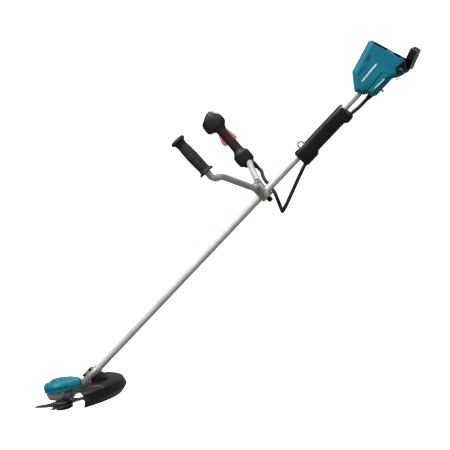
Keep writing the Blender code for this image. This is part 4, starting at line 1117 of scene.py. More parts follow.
# ---- stage ----------------------------------------------------------------------------------
class CUTTER_OT_stage(bpy.types.Operator):
    """Camera, seamless paper and soft lights"""
    bl_idname = "cutter.stage"
    bl_label = "Studio"

    def execute(self, context):
        sizes = context.scene.cutter_sizes
        low, high = CAD_BOX
        azimuth, elevation, distance = math.radians(14.0), math.radians(8.0), 5.5
        target = Vector((-0.24946, -0.04475, -0.27137))
        focal_length, sensor_width = 131.1, 36.0
        lens = bpy.data.cameras.new("Studio camera")
        lens.lens = focal_length
        lens.sensor_width = sensor_width
        camera = linked("Studio camera", lens)
        camera.location = target + distance * Vector((math.sin(azimuth) * math.cos(elevation),
                                                      -math.cos(azimuth) * math.cos(elevation), math.sin(elevation)))
        camera.rotation_euler = (math.radians(90) - elevation, 0.0, azimuth)
        context.scene.camera = camera

        level = low[2] - sizes.floor_drop
        middle_x, middle_y = (low[0] + high[0]) / 2, (low[1] + high[1]) / 2
        reach, bend, top, steps, sides = 9.0, 1.6, 9.0, 24, 96
        run = [(reach - bend + bend * math.sin(a), bend - bend * math.cos(a))
               for a in [math.radians(90 * k / steps) for k in range(steps + 1)]] + [(reach, top)]
        turns = [2 * math.pi * k / sides for k in range(sides)]
        bm = bmesh.new()
        rings = [[bm.verts.new((middle_x + x, middle_y + y, level + z))
                  for x, y in [polar(radius, a) for a in turns]] for radius, z in run]
        bridge(bm, rings)
        bm.faces.new(rings[0])
        bmesh.ops.recalc_face_normals(bm, faces=bm.faces)
        mesh = mesh_of("Studio paper", bm)
        mesh.shade_smooth()
        paper = linked("Studio_paper", mesh)
        mesh.materials.append(studio_paper("Studio paper", (0.95, 0.95, 0.95), 1.0))
        paper.visible_diffuse = False
        paper.visible_glossy = False

        lights = (("Key", (-2.6, -2.6, 3.2), 2.0, 300.0), ("Fill", (3.2, -3.4, 0.8), 2.4, 26.0),
                  ("Top", (0.6, 0.2, 3.4), 2.4, 60.0), ("Paper", (-1.0, 1.6, 3.2), 3.0, 60.0))
        for name, spot, size, power in lights:
            data = bpy.data.lights.new(name + " light", 'AREA')
            data.shape = 'DISK'
            data.size = size
            data.energy = power
            lamp = linked(name + " light", data)
            lamp.location = spot
            aim = Vector((0.0, 3.0, -0.2)) if name == "Paper" else target
            lamp.rotation_euler = (aim - Vector(spot)).to_track_quat('-Z', 'Y').to_euler()
        world = bpy.data.worlds.new("Studio air")
        world.use_nodes = True
        world.node_tree.nodes["Background"].inputs["Color"].default_value = (1.0, 1.0, 1.0, 1.0)
        world.node_tree.nodes["Background"].inputs["Strength"].default_value = 0.2
        context.scene.world = world
        context.scene.view_settings.view_transform = 'Standard'
        return {'FINISHED'}


# ---- cable and its sleeves ------------------------------------------------------------------
class CUTTER_OT_cable(bpy.types.Operator):
    """Control cable from the right grip to the battery housing, with its end sleeves"""
    bl_idname = "cutter.cable"
    bl_label = "Control cable"

    def execute(self, context):
        sizes = context.scene.cutter_sizes
        route = [SHAFT @ point for point in smooth_route(CABLE_ROUTE, 4)]
        ring_depth, sides = 0.05, 24
        cover = ringed("control_cable_cover", route, [1.0] * len(route), sizes.cable_radius / MM,
                       sizes.ring_pitch / MM, ring_depth, sides, finishes()["rubber"])
        cover.data.polygons.foreach_set("use_smooth", [True] * len(cover.data.polygons))
        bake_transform(cover)
        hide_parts("control_cable")

        bore = sizes.cable_radius / MM + 3 * GAP
        top, end = Vector((-6.4, 253.9, 122.6)), Vector(CABLE_ROUTE[1])
        boot = [(9.2, 0), (9.2, 4.6), (8.9, 5.2)]
        for step in range(5):
            z = 6.2 + 2.9 * step
            boot += [(8.7 - 0.12 * step, z), (8.7 - 0.12 * step, z + 1.6), (8.0 - 0.1 * step, z + 2.0),
                     (8.0 - 0.1 * step, z + 2.6)]
        boot += [(7.9, 21), (bore, 21), (bore, 0)]
        complete(solid("cable_gland_boot", turned(boot, 48, top, end - top), SHAFT), finishes()["rubber"], BARS,
                 ["cable_gland"])
        inlet = [(9, 0), (9, 15.4), (8.8, 16), (8.3, 16.6), (8.3, 18.4), (8.7, 19), (8.7, 20.4), (8.1, 21),
                 (8.1, 22.4), (8.4, 23), (8.2, 24), (bore, 24), (bore, 0)]
        complete(solid("housing_gland_sleeve", turned(inlet, 48, (503, 0, -33), (-1, 0, 0)), SHAFT),
                 finishes()["rubber"], ROOT, ["housing_gland"])
        return {'FINISHED'}


# ---- handlebar, clamp and grips -------------------------------------------------------------
def bar_route(spacing, left_end=134.0, right_end=54.0):
    """The U bar from the left end to the right end, which stops under the finger controls."""
    right = BAR_RISE + RIGHT_BEND
    left = [(x, -y, z) for x, y, z in BAR_RISE + LEFT_BEND]
    for arm, foot, tip, reach in ((right, RIGHT_FOOT, RIGHT_TIP, right_end), (left, LEFT_FOOT, LEFT_TIP, left_end)):
        foot = Vector(foot)
        up = (Vector(tip) - foot).normalized()
        arm.extend(foot + up * along for along in (-20, -5, 40, reach))
    return smooth_route(left[::-1] + [BAR_CENTRE] + right, spacing)


class CUTTER_OT_handlebar(bpy.types.Operator):
    """U handlebar with its cable clip"""
    bl_idname = "cutter.handlebar"
    bl_label = "Handlebar"

    def execute(self, context):
        radius = context.scene.cutter_sizes.bar_radius / MM
        bar = solid("handlebar_tube", swept(bar_route(4), radius, radius - BAR_WALL, 40), SHAFT)
        complete(bar, finishes()["bar"], BARS, ["handlebar"])
        clip = solid("bar_clip_ring", pipe((5, 27, 33), (5, 31.5, 33), 14.5, radius + 2 * GAP), SHAFT)
        carve(clip, solid("clip_opening", block((-10, 20, 40), (20, 40, 60)), SHAFT))
        complete(clip, finishes()["black"], BARS, ["bar_clip"], rounding=0.5)
        return {'FINISHED'}


class CUTTER_OT_clamp(bpy.types.Operator):
    """Cast handlebar clamp with its screws and knob"""
    bl_idname = "cutter.clamp"
    bl_label = "Handlebar clamp"

    def execute(self, context):
        cast = finishes()["cast"]
        for node in ("clamp_base", "clamp_middle", "clamp_cap"):
            complete(refined(node + "_casting", node), cast, ROOT, [node], rounding=1.1, steps=3)
        ribs = [((x, side * 19.6, 9.0), (0, side, 0), (1, 0, 0)) for side in (-1, 1) for x in (-8, -2, 12, 18)]
        row = row_of("clamp_ribs", soft_block((-1.1, -6, -1.0), (1.1, 6, 1.2), 0.5), ribs, SHAFT, cast)
        complete(row, cast, ROOT)
        screws = [((x, y, 49 + GAP), (0, 0, 1), (1, 0, 0)) for x, y in CLAMP_BOLT_SPOTS]
        row = row_of("clamp_screws", cap_screw(3.6, 4, 2.1, 60), screws, SHAFT, finishes()["dark"])
        complete(row, finishes()["dark"], ROOT, ["clamp_bolt_%d" % n for n in (1, 2, 3, 4)])

        profile = [(0, -12 - 2 * GAP), (4, -12 - 2 * GAP), (4, -20 - GAP), (5.8, -20 - GAP), (7.4, -21.5), (8.6, -22.8),
                   (9, -24.5), (9, -31.5), (8.5, -33.4), (7.4, -35), (5.8, -35.7), (5.2, -35.2), (0, -35)]
        knob = solid("clamp_knob_wheel", turned(profile, 72, (BAR_CENTRE[0], 0, 0)), SHAFT)
        flutes = []
        for turn in range(30, 390, 60):
            x, y = polar(10.4, math.radians(turn))
            flutes.append(rod((BAR_CENTRE[0] + x, y, -50), (BAR_CENTRE[0] + x, y, -19), 3.2, 24))
        carve(knob, solid("knob_flutes", merged(*flutes), SHAFT))
        complete(knob, finishes()["black"], "clamp_knob_body", ["clamp_knob"], rounding=0.5)
        return {'FINISHED'}


class CUTTER_OT_left_grip(bpy.types.Operator):
    """Ribbed rubber grip with a flange at its foot and a mushroom head"""
    bl_idname = "cutter.left_grip"
    bl_label = "Left grip"

    def execute(self, context):
        rubber = finishes()["rubber"]
        bore = context.scene.cutter_sizes.bar_radius / MM + 2 * GAP
        shape = [(13, 19.6), (17, 19.2), (24, 19.4), (45, 20.2), (70, 20.6), (95, 19.8), (112, 18.4), (120, 18),
                 (127, 19)]
        steps, plain_radius, rib_pitch, rib_depth = 60, 18, 4.4, 0.05
        route, radii = [], []
        for step in range(steps + 1):
            z = shape[0][0] + (shape[-1][0] - shape[0][0]) * step / steps
            for (z0, r0), (z1, r1) in zip(shape, shape[1:]):
                if z0 <= z <= z1:
                    t = (z - z0) / (z1 - z0)
                    radii.append((r0 + (r1 - r0) * t * t * (3 - 2 * t)) / plain_radius)
                    route.append(LEFT_GRIP @ Vector((0, 0, z)))
                    break
        body = ringed("left_grip_ribs", route, radii, plain_radius, rib_pitch, rib_depth, 64, rubber)
        complete(body, rubber, BARS, ["left_grip"], crease=60)
        foot = [(bore, 0), (24.4, 0), (26.3, 1), (27, 3), (26.8, 5.2), (25.4, 7), (22.6, 8.4), (20.6, 10),
                (19.6, 12.5), (19.4, 15.5), (bore, 15.5)]
        head = [(0, 124), (18.6, 124), (18.8, 128), (20.5, 131), (23.2, 133), (25.2, 135), (26.2, 137.6),
                (26.2, 140), (25.2, 142.4), (22.6, 144.6), (18, 146.2), (10, 147), (8.2, 146.4), (0, 146.4)]
        ends = solid("left_grip_ends", merged(turned(foot, 72), turned(head, 72)), LEFT_GRIP)
        complete(ends, rubber, BARS, crease=50)
        return {'FINISHED'}


class CUTTER_OT_control_grip(bpy.types.Operator):
    """Right grip: two shells with the cable box, the handle and the button head"""
    bl_idname = "cutter.control_grip"
    bl_label = "Control grip"

    def execute(self, context):
        bar = context.scene.cutter_sizes.bar_radius / MM + 2 * GAP
        sections = [(-38, -19, 13, 17), (-36.5, -21, 16, 18.4), (-27, -24, 19, 19.4), (-24.5, -31, 25, 22),
                    (-22, -34, 27, 22.8), (-4, -35.2, 27.6, 23), (12, -34, 27.4, 22.8), (16, -32, 25.6, 22.2),
                    (20, -28, 20, 20), (26, -22, 17.6, 18.2), (34, -18, 17.2, 17.3), (44, -17, 17, 17),
                    (70, -17.3, 17.3, 17.2), (112, -17, 17, 17), (124, -18.2, 18, 18), (130, -21, 20, 18.8),
                    (134.5, -27, 25, 19.8), (138.5, -40, 30, 20.8), (142.5, -45, 33, 21.2),
                    (148.5, -46.3, 34.6, 21.4), (157, -46.6, 34.8, 21.5), (166, -46.4, 34.6, 21.4),
                    (179.5, -44.6, 28.8, 21.2), (184, -40, 26.8, 20.6), (194.5, -19.5, 20, 18.6), (200, -8, 16.8, 16),
                    (203, 1, 13.6, 12)]
        rings = [squarish(z, ((low + high) / 2, 0), ((high - low) / 2, deep), 0.72, 40, True)
                 for z, low, high, deep in sections]
        route = bar_route(12)
        route.append(route[-1] + (route[-1] - route[-2]).normalized())
        pins = merged(*[rod((x, -11.8, z), (x, 11.8, z), 2.3, 16) for x, z in (TRIGGER_PIVOT, LEVER_PIVOT)])
        wells = merged(*[rod((-12, 0, z), (0.2, 0, z), 6.6, 32) for z in (7.2, -7.2)])
        boot = smooth_route([(-6.9, 254.6, 133), (-5.4, 252.4, 98)], 50)
        for name, side in (("left", -1), ("right", 1)):
            half = solid("control_grip_shell_" + name, loft(rings), RIGHT_GRIP)
            soft = half.modifiers.new("Soft form", 'SUBSURF')
            soft.levels = soft.render_levels = 1
            baked(half)
            low, high = span(side, GAP / 2, 60)
            carve(half, solid("gland_room", swept(boot, 10.2, sides=32), SHAFT),
                  solid("bar_room", swept(route, bar, sides=24), SHAFT),
                  solid("mechanism_room", block((-12.2, -8.7, 58), (12.4, 9.1, 158)), RIGHT_GRIP),
                  solid("head_room", block((-38, -15, 150), (20, 15, 176)), RIGHT_GRIP),
                  solid("trigger_slot", block((-34, -6.3, 66), (-2, 6.3, 127)), RIGHT_GRIP),
                  solid("lever_slot", block((3, -6.3, 62), (32, 6.3, 128)), RIGHT_GRIP),
                  solid("pin_holes", pins.copy(), RIGHT_GRIP),
                  solid("panel_seat", block((-3, -14, -15), (15, 14, 15)), PANEL),
                  solid("button_wells", wells.copy(), PANEL),
                  solid("head_seam", block((-60, side * 23, 120), (60, side * 21.0, 123)), RIGHT_GRIP))
            carve(half, solid("keep_side", block((-80, low, -60), (80, high, 220)), RIGHT_GRIP),
                  operation='INTERSECT')
            complete(half, finishes()["black"], BARS, ["control_grip_" + name], rounding=0.5,
                     crease=38)
        pins.free()
        wells.free()
        screws = [((-19, -21.6, 2), (0, -1, 0), (1, 0, 0)), ((13, -21.4, 2), (0, -1, 0), (1, 0, 0)),
                  ((0, -16.4, 52), (0, -1, 0), (1, 0, 0)), ((-22, -20.4, 168), (0, -1, 0), (1, 0, 0))]
        screws += [((x, -y, z), (0, 1, 0), (1, 0, 0)) for (x, y, z), _, _ in screws]
        row = row_of("control_grip_screws", cap_screw(3.2, 1.5, 1.5, 5), screws, RIGHT_GRIP, finishes()["dark"])
        complete(row, finishes()["dark"], BARS)
        return {'FINISHED'}


class CUTTER_OT_finger_controls(bpy.types.Operator):
    """Throttle trigger, lock-off lever, button panel and its two buttons"""
    bl_idname = "cutter.finger_controls"
    bl_label = "Finger controls"

    def execute(self, context):
        red = finishes()["red"]
        trigger = [(-12.5, 121), (-17.5, 121.5), (-29.5, 88), (-29.5, 74), (-26, 70.5), (-18, 71), (-12, 98),
                   (-4.5, 111), (-4.5, 121)]
        lever = [(12.5, 123), (16.5, 123), (26, 73), (25, 68.5), (21, 67.5), (14, 69), (9, 90), (5, 111), (5, 123)]
        for name, node, outline, pivot, body in (
                ("throttle_trigger_blade", "throttle_trigger", trigger, TRIGGER_PIVOT, "throttle_trigger_body"),
                ("lock_off_lever_blade", "lock_off_lever", lever, LEVER_PIVOT, "lock_off_lever_body")):
            piece = solid(name, prism(rounded(outline, 2.2, 6), -5.6, 5.6), RIGHT_GRIP)
            carve(piece, solid("bore", rod((pivot[0], -20, pivot[1]), (pivot[0], 20, pivot[1]), 2.3), RIGHT_GRIP))
            complete(piece, red, body, [node], rounding=0.9, steps=3, crease=50)

        plate = solid("button_panel_plate", soft_block((-2.7, -13.6, -14.6), (-0.9, 13.6, 14.6), 0.6), PANEL)
        holes = [rod((-8, 0, z), (4, 0, z), 4.9) for z in (7.2, -7.2)]
        carve(plate, solid("button_holes", merged(*holes), PANEL))
        complete(plate, finishes()["panel"], BARS, ["display_panel"])
        lamps = [((-0.9, y, z), (1, 0, 0), (0, 1, 0)) for y, z in ((9.5, 3.4), (9.5, 7.2), (9.5, 11.0), (-9.5, -7.2))]
        row = row_of("panel_lamps", turned([(0, 0.5), (0.7, 0.42), (1.05, 0.1), (1.05, -0.4), (0, -0.4)], 20), lamps,
                     PANEL, finishes()["red"])
        complete(row, red, BARS)
        key = [(0, 0.7), (3.0, 0.62), (3.9, 0.74), (4.3, 0.5), (4.5, 0.1), (4.5, -3.4), (6.1, -3.4), (6.1, -5), (0, -5)]
        for name, node, z, finish, slot in (("power_button_cap", "power_button", 7.2, "red", "red_plastic"),
                                            ("reverse_button_cap", "reverse_button", -7.2, "black", "black_plastic")):
            cap = solid(name, turned(key, 48, (0, 0, z), (1, 0, 0)), PANEL)
            complete(cap, finishes()[finish], node + "_body", [node])
        return {'FINISHED'}


# ---- tube, sleeve and hanger ----------------------------------------------------------------
class CUTTER_OT_tube(bpy.types.Operator):
    """Main tube"""
    bl_idname = "cutter.tube"
    bl_label = "Main tube"

    def execute(self, context):
        radius = context.scene.cutter_sizes.tube_radius / MM
        front, rear = TUBE_ENDS
        tube = solid("main_tube_drawn", pipe((front, 0, 0), (rear, 0, 0), radius, radius - TUBE_WALL, 96), SHAFT)
        complete(tube, finishes()["tube"], ROOT, ["main_tube"])
        return {'FINISHED'}


class CUTTER_OT_sleeve(bpy.types.Operator):
    """Two moulded half sleeves round the tube and the cable, held by screws"""
    bl_idname = "cutter.sleeve"
    bl_label = "Tube sleeve"

    def execute(self, context):
        black = finishes()["gloss_black"]
        sections = [(178, 22.6, 17.6, -41.4), (179.2, 23.6, 18.6, -42.6), (184, 24, 19, -43), (226, 24, 19, -43),
                    (230, 23.8, 19, -42.2), (238, 23.2, 19, -35), (242, 23, 19, -34), (362, 23, 19, -34),
                    (366, 23.2, 19, -35), (374, 23.8, 19, -42.2), (378, 24, 19, -43), (396, 24, 19, -42),
                    (400.8, 23.6, 18.6, -39), (402, 22.6, 17.6, -37.6)]
        rings = [squarish(x, (0, (top + bottom) / 2), (half, (top - bottom) / 2), 0.68, 80, False)
                 for x, half, top, bottom in sections]
        inside = [(140, 0, -41)] + [point for point in CABLE_ROUTE if 150 < point[0] < 460]
        channel = swept(smooth_route(inside, 12), context.scene.cutter_sizes.cable_radius / MM + 1.2, sides=24)
        for name, side in (("left", -1), ("right", 1)):
            half = solid("sleeve_shell_" + name, loft(rings), SHAFT)
            low, high = span(side, GAP / 2, 60)
            carve(half, solid("tube_room", rod((100, 0, 0), (450, 0, 0), TUBE_RADIUS + GAP), SHAFT),
                  solid("cable_room", channel.copy(), SHAFT),
                  solid("hanger_window", block((194, -16, 3), (240, 16, 40)), SHAFT),
                  solid("side_groove", soft_block((248, side * 22.2 - 2, -13), (356, side * 22.2 + 2, -10.6), 0.8),
                        SHAFT))
            carve(half, solid("keep_side", block((100, low, -80), (450, high, 80)), SHAFT), operation='INTERSECT')
            complete(half, black, ROOT, ["sleeve_" + name], rounding=0.5, crease=40)
        channel.free()
        screws = [((x, 22.9, z), (0, 1, 0), (1, 0, 0)) for x, z in ((204, -31), (302, -26), (388, -31))]
        row = row_of("sleeve_screws", cap_screw(3.0, 1.3, 1.5, 5), screws, SHAFT, finishes()["dark"])
        complete(row, finishes()["dark"], ROOT)
        return {'FINISHED'}


class CUTTER_OT_hanger(bpy.types.Operator):
    """Harness eye on its clamp band"""
    bl_idname = "cutter.hanger"
    bl_label = "Harness eye"

    def execute(self, context):
        bright, dark = finishes()["bright"], finishes()["dark"]
        band = solid("hanger_band", pipe((196, 0, 0), (238, 0, 0), 14.5, TUBE_RADIUS + GAP, 72), SHAFT)
        carve(band, solid("band_gap", block((190, -30, -40), (245, 30, 3.5)), SHAFT))
        complete(band, dark, ROOT, rounding=0.4)
        ring_radius, wire_radius, start, sweep, steps = 10.7, 2.3, -42, 264, 48
        arc = [Vector((EYE[0] + ring_radius * math.cos(a), 0, EYE[2] + ring_radius * math.sin(a)))
               for a in [math.radians(start + sweep * k / steps) for k in range(steps + 1)]]
        wire = solid("harness_eye_wire", swept(arc, wire_radius, sides=24), SHAFT)
        complete(wire, dark, ROOT, ["harness_hanger"], crease=60)
        row = row_of("hanger_screw", cap_screw(5, 4.5, 2.6, 2.2), [((231, 0, 14.5 + GAP), (0, 0, 1), (1, 0, 0))],
                     SHAFT, dark)
        complete(row, dark, ROOT, ["hanger_bolt"])
        return {'FINISHED'}


# ---- battery housing ------------------------------------------------------------------------
class CUTTER_OT_housing(bpy.types.Operator):
    """Two housing shells with their battery bays, vents and recessed side panels"""
    bl_idname = "cutter.housing"
    bl_label = "Battery housing"

    def execute(self, context):
        teal = finishes()["teal"]
        skin = [(GAP / 2, 0), (28, 0), (30.5, 0.5), (32.5, 1.5), (44, 12.6), (45.3, 14.4), (HOUSING_HALF_WIDTH, 16.6)]
        rearwards = Vector((math.cos(math.radians(BAY_TILT)), math.sin(math.radians(BAY_TILT))))
        electronics = [(525, 62.5), (512.5, 59.3), (482, 23), (478.5, 17), (511.5, 17), (511.5, -16), (495, -19),
                       (503.5, -42.3), (554, -42.3)]
        lower_panel = rounded([(490, -15), (530, -15.4), (579, -9.4), (597, -40), (597, -80), (490, -80)], 4)
        rows = [(-115, -87, -24.5), (-59, -36, -24.5), (-101, -71, -31), (-66, -37, -31)]
        upper, lower, (first, second) = UPPER_BAY, LOWER_BAY, LOWER_BAY_STEPS
        deep, wide = -BAY_DEPTH, BAY_HALF_WIDTH
        for name, side in (("left", -1), ("right", 1)):
            rings = []
            for y, inset in skin:
                outline = [Vector(corner) for corner in shrink(HOUSING_OUTLINE, inset)]
                for end in (0, -1):
                    outline[end] += rearwards * inset * 0.9
                rings.append([(x, side * y, z) for x, z in rounded([tuple(p) for p in outline], 3.5, 5)])
            half = solid("housing_shell_" + name, loft(rings), SHAFT)
            low, high = span(side, 30, 60)
            slots = [block((x0, low, z - 1.3), (x1, high, z + 1.3)) for x0, x1, z in rows]
            carve(half, solid("electronics_room", prism(electronics, -34, 34), SHAFT),
                  solid("upper_bay", block((deep, -wide, upper[0]), (20, wide, upper[1])), BAY),
                  solid("lower_bay_deep", block((deep, -wide, first), (20, wide, lower[1])), BAY),
                  solid("lower_bay_middle", block((-58, -wide, second), (21, wide, first + 1)), BAY),
                  solid("lower_bay_mouth", block((-38, -wide, lower[0]), (22, wide, second + 1)), BAY),
                  solid("tube_room", rod((400, 0, 0), (TUBE_ENDS[1] + GAP, 0, 0), TUBE_RADIUS + GAP), SHAFT),
                  solid("lead_exit", rod((500, 0, 0), (520, 0, 0), 5), SHAFT),
                  solid("gland_room", rod((470, 0, -33), (506, 0, -33), 9.3), SHAFT),
                  solid("panel_step", prism(lower_panel, *span(side, HOUSING_HALF_WIDTH - 2.6, 60)), SHAFT),
                  solid("vent_slots", merged(*slots), BAY))
            complete(half, teal, ROOT, ["battery_housing_" + name], rounding=0.7, crease=30)

        spacing = 5.2
        bars = [((x, side * (HOUSING_HALF_WIDTH - 1.7), z), (0, side, 0), (1, 0, 0)) for side in (-1, 1)
                for x0, x1, z in rows for x in [x0 + spacing * k for k in range(1, int((x1 - x0) / spacing) + 1)]]
        row = row_of("vent_bars", soft_block((-0.7, -1.6, -2.0), (0.7, 1.6, 1.4), 0.3, 2), bars, BAY, teal)
        complete(row, teal, ROOT)

        mark = rounded([(512, 17), (586, 21.6), (586.4, 17.4), (512.4, 12.8)], 1.8)
        label = rounded([(524, -29), (568, -31.1), (567.8, -34), (523.8, -31.9)], 1.2)
        for name, outline, out in (("side_mark", mark, 0.0), ("side_label", label, -2.6)):
            flats = [prism(outline, *span(side, HOUSING_HALF_WIDTH + out - 0.4, HOUSING_HALF_WIDTH + out + 0.25))
                     for side in (-1, 1)]
            complete(solid(name, merged(*flats), SHAFT), finishes()["print"], ROOT)

        ring = [(5.2, -1.6), (5.2, 1.6), (4.6, 2.2), (3.4, 2.2), (2.8, 1.6), (2.8, -1.6), (3.4, -2.2), (4.6, -2.2)]
        lugs = merged(turned(ring, 40, (593, 0, -58.5), (0, 1, 0)),
                      turned([(2.4, -8), (2.4, 0), (3.8, 1.2), (3.8, 5.4), (3, 6.6), (0, 6.6), (0, -8)], 32,
                             (530, 0, -49), (0, 0, -1)))
        complete(solid("housing_lugs", lugs, SHAFT), teal, ROOT)
        screws = [((x, HOUSING_HALF_WIDTH, z), (0, 1, 0), (1, 0, 0))
                  for x, z in ((495, 12), (578, 62), (514, 40), (624, -44))]
        row = row_of("housing_screws", cap_screw(3.3, 0.5, 1.6, 4), screws, SHAFT, finishes()["dark"])
        complete(row, finishes()["dark"], ROOT)
        return {'FINISHED'}


class CUTTER_OT_bays(bpy.types.Operator):
    """Black sheets lining the walls of the two battery bays as painted shade, with the bays' guide rails and contact
    blocks
    """
    bl_idname = "cutter.bays"
    bl_label = "Battery bays"

    def execute(self, context):
        black, bright = finishes()["black"], finishes()["bright"]
        deep, wide = -BAY_DEPTH, BAY_HALF_WIDTH
        contacts = (-12, -6, 0, 6, 12)
        for name, z in (("upper", -40.0), ("lower", -99.0)):
            shape = solid("terminal_block_" + name, soft_block((deep + GAP, -17, z - 7), (deep + 13, 17, z + 7), 1.0),
                          BAY)
            slots = [block((deep + 6, y - 0.9, z - 5), (deep + 20, y + 0.9, z + 5)) for y in contacts]
            carve(shape, solid("contact_slots", merged(*slots), BAY))
            complete(shape, black, ROOT, ["battery_terminal_" + name], rounding=0.3)
            blades = [((deep + 9.4, y, z), (1, 0, 0), (0, 1, 0)) for y in contacts]
            row = row_of("contact_blades_" + name, soft_block((-0.35, -4.6, -3.0), (0.35, 4.6, 3.0), 0.15, 1), blades,
                         BAY, bright)
            complete(row, bright, ROOT)
        # Black sheets over the teal side walls of each bay: painted shade for the bays' insides, not a part of the tool
        rails_and_shade_sheets = []
        for low, high, floor in ((*UPPER_BAY, deep), (LOWER_BAY_STEPS[0], LOWER_BAY[1], deep),
                                 (LOWER_BAY[0], LOWER_BAY_STEPS[1], -36.0)):
            for side in (-1, 1):
                y0, y1 = span(side, wide + 0.1, wide - 1.6)
                rails_and_shade_sheets.append(soft_block((floor + 0.5, y0, low + 0.3), (-0.6, y1, high - 0.3), 0.4, 1))
        # Guide rails: real parts of the bays, kept in the same mesh as the painted-shade sheets
        for side in (-1, 1):
            y0, y1 = span(side, wide - 1.7, wide - 5.2)
            for z in (-25.0, -100.5):
                rails_and_shade_sheets.append(soft_block((deep + 14, y0, z - 1.6), (-4, y1, z + 1.6), 0.7, 2))
        # Black strips along the bays' roofs and floors: more painted shade
        for low, high in ((UPPER_BAY[1] - 1.8, UPPER_BAY[1] + 0.1), (UPPER_BAY[0] - 0.1, UPPER_BAY[0] + 1.8),
                          (LOWER_BAY[1] - 1.9, LOWER_BAY[1] + 0.1)):
            rails_and_shade_sheets.append(soft_block((deep + 0.5, -wide + 1.7, low), (-0.6, wide - 1.7, high), 0.4, 1))
        complete(solid("bay_liners", merged(*rails_and_shade_sheets), BAY), black, ROOT)
        return {'FINISHED'}


class CUTTER_OT_rear_guard(bpy.types.Operator):
    """Bumper below the battery bays, with a round cheek on each side"""
    bl_idname = "cutter.rear_guard"
    bl_label = "Rear guard"

    def execute(self, context):
        black = finishes()["gloss_black"]
        profile = [(0.8, -140), (4, -135.5), (45, -134), (49, -138), (46.5, -157.5), (-20, -162.5), (-24.5, -159.4)]
        guard = solid("rear_guard_bumper", prism(rounded(profile, 3.4, 5), -GUARD_HALF_WIDTH, GUARD_HALF_WIDTH), BAY)
        plan = rounded([(-100, -GUARD_HALF_WIDTH), (49.5, -GUARD_HALF_WIDTH), (49.5, GUARD_HALF_WIDTH),
                        (-100, GUARD_HALF_WIDTH)], 24, 12)
        carve(guard, solid("guard_plan", loft([[(x, y, z) for x, y in plan] for z in (-200, -100)]), BAY),
              operation='INTERSECT')
        pocket = rounded([(8, -120), (8, -146), (12, -152), (36, -151), (41, -146), (41, -120)], 2.5)
        carve(guard, *[solid("guard_pocket", prism(pocket, *span(side, 3, 40)), BAY) for side in (-1, 1)])
        complete(guard, black, ROOT, ["rear_guard"], rounding=1.4, steps=3)
        cheeks = []
        cheek_x, cheek_z, cheek_radius, start, sweep, steps = -31, -138.5, 16.5, 55, 232, 40
        for side in (-1, 1):
            outline = [(cheek_x + cheek_radius * math.cos(a), cheek_z + cheek_radius * math.sin(a))
                       for a in [math.radians(start + sweep * k / steps) for k in range(steps + 1)]]
            outline += [(-20, -160.5), (10, -156.5), (11, -137.5)]
            cheeks.append(prism(outline, *span(side, HOUSING_HALF_WIDTH + GAP, GUARD_HALF_WIDTH)))
        cheek = solid("rear_guard_cheeks", merged(*cheeks), BAY)
        dishes = [turned([(0, -3), (10.5, -3), (12, 0.5), (0, 0.5)], 48, (cheek_x, side * GUARD_HALF_WIDTH, cheek_z),
                         (0, side, 0)) for side in (-1, 1)]
        carve(cheek, solid("cheek_dishes", merged(*dishes), BAY))
        complete(cheek, black, ROOT, rounding=0.9, steps=3)
        inlays = []
        for side in (-1, 1):
            near, far = span(side, 46.9, 48.4)
            inlays.append(soft_block((-34, near, -145), (-28, far, -132), 0.6))
        complete(solid("cheek_inlays", merged(*inlays), BAY), finishes()["teal"], ROOT)
        strip = rounded([(8, -160.8), (36, -158.7), (36, -158.0), (8, -160.0)], 0.3, 2)
        complete(solid("guard_strip", prism(strip, -16, 16), BAY), finishes()["strip"], ROOT)
        return {'FINISHED'}


# ---- cutting head ---------------------------------------------------------------------------
def cap_ring(inset, height, count=144):
    """Ring round the motor with a lobe towards the neck: two circles and their common tangents."""
    big, small, reach = 57.0 - inset, 24.0 - inset * 0.45, 61.0 - inset * 0.55
    lean = math.acos((big - small) / reach)
    ring = []
    for step in range(count):
        angle = math.remainder(2 * math.pi * (step + 0.5) / count, 2 * math.pi)
        if abs(angle) > lean:
            ring.append((*polar(big, angle), height))
            continue
        portion = abs(angle) / lean
        turn = math.copysign(min(1.0, portion / 0.6) * lean, angle)
        spot = Vector((reach + small * math.cos(turn), small * math.sin(turn)))
        if portion > 0.6:
            spot = spot.lerp(Vector(polar(big, turn)), (portion - 0.6) / 0.4)
        ring.append((spot.x, spot.y, height))
    return ring


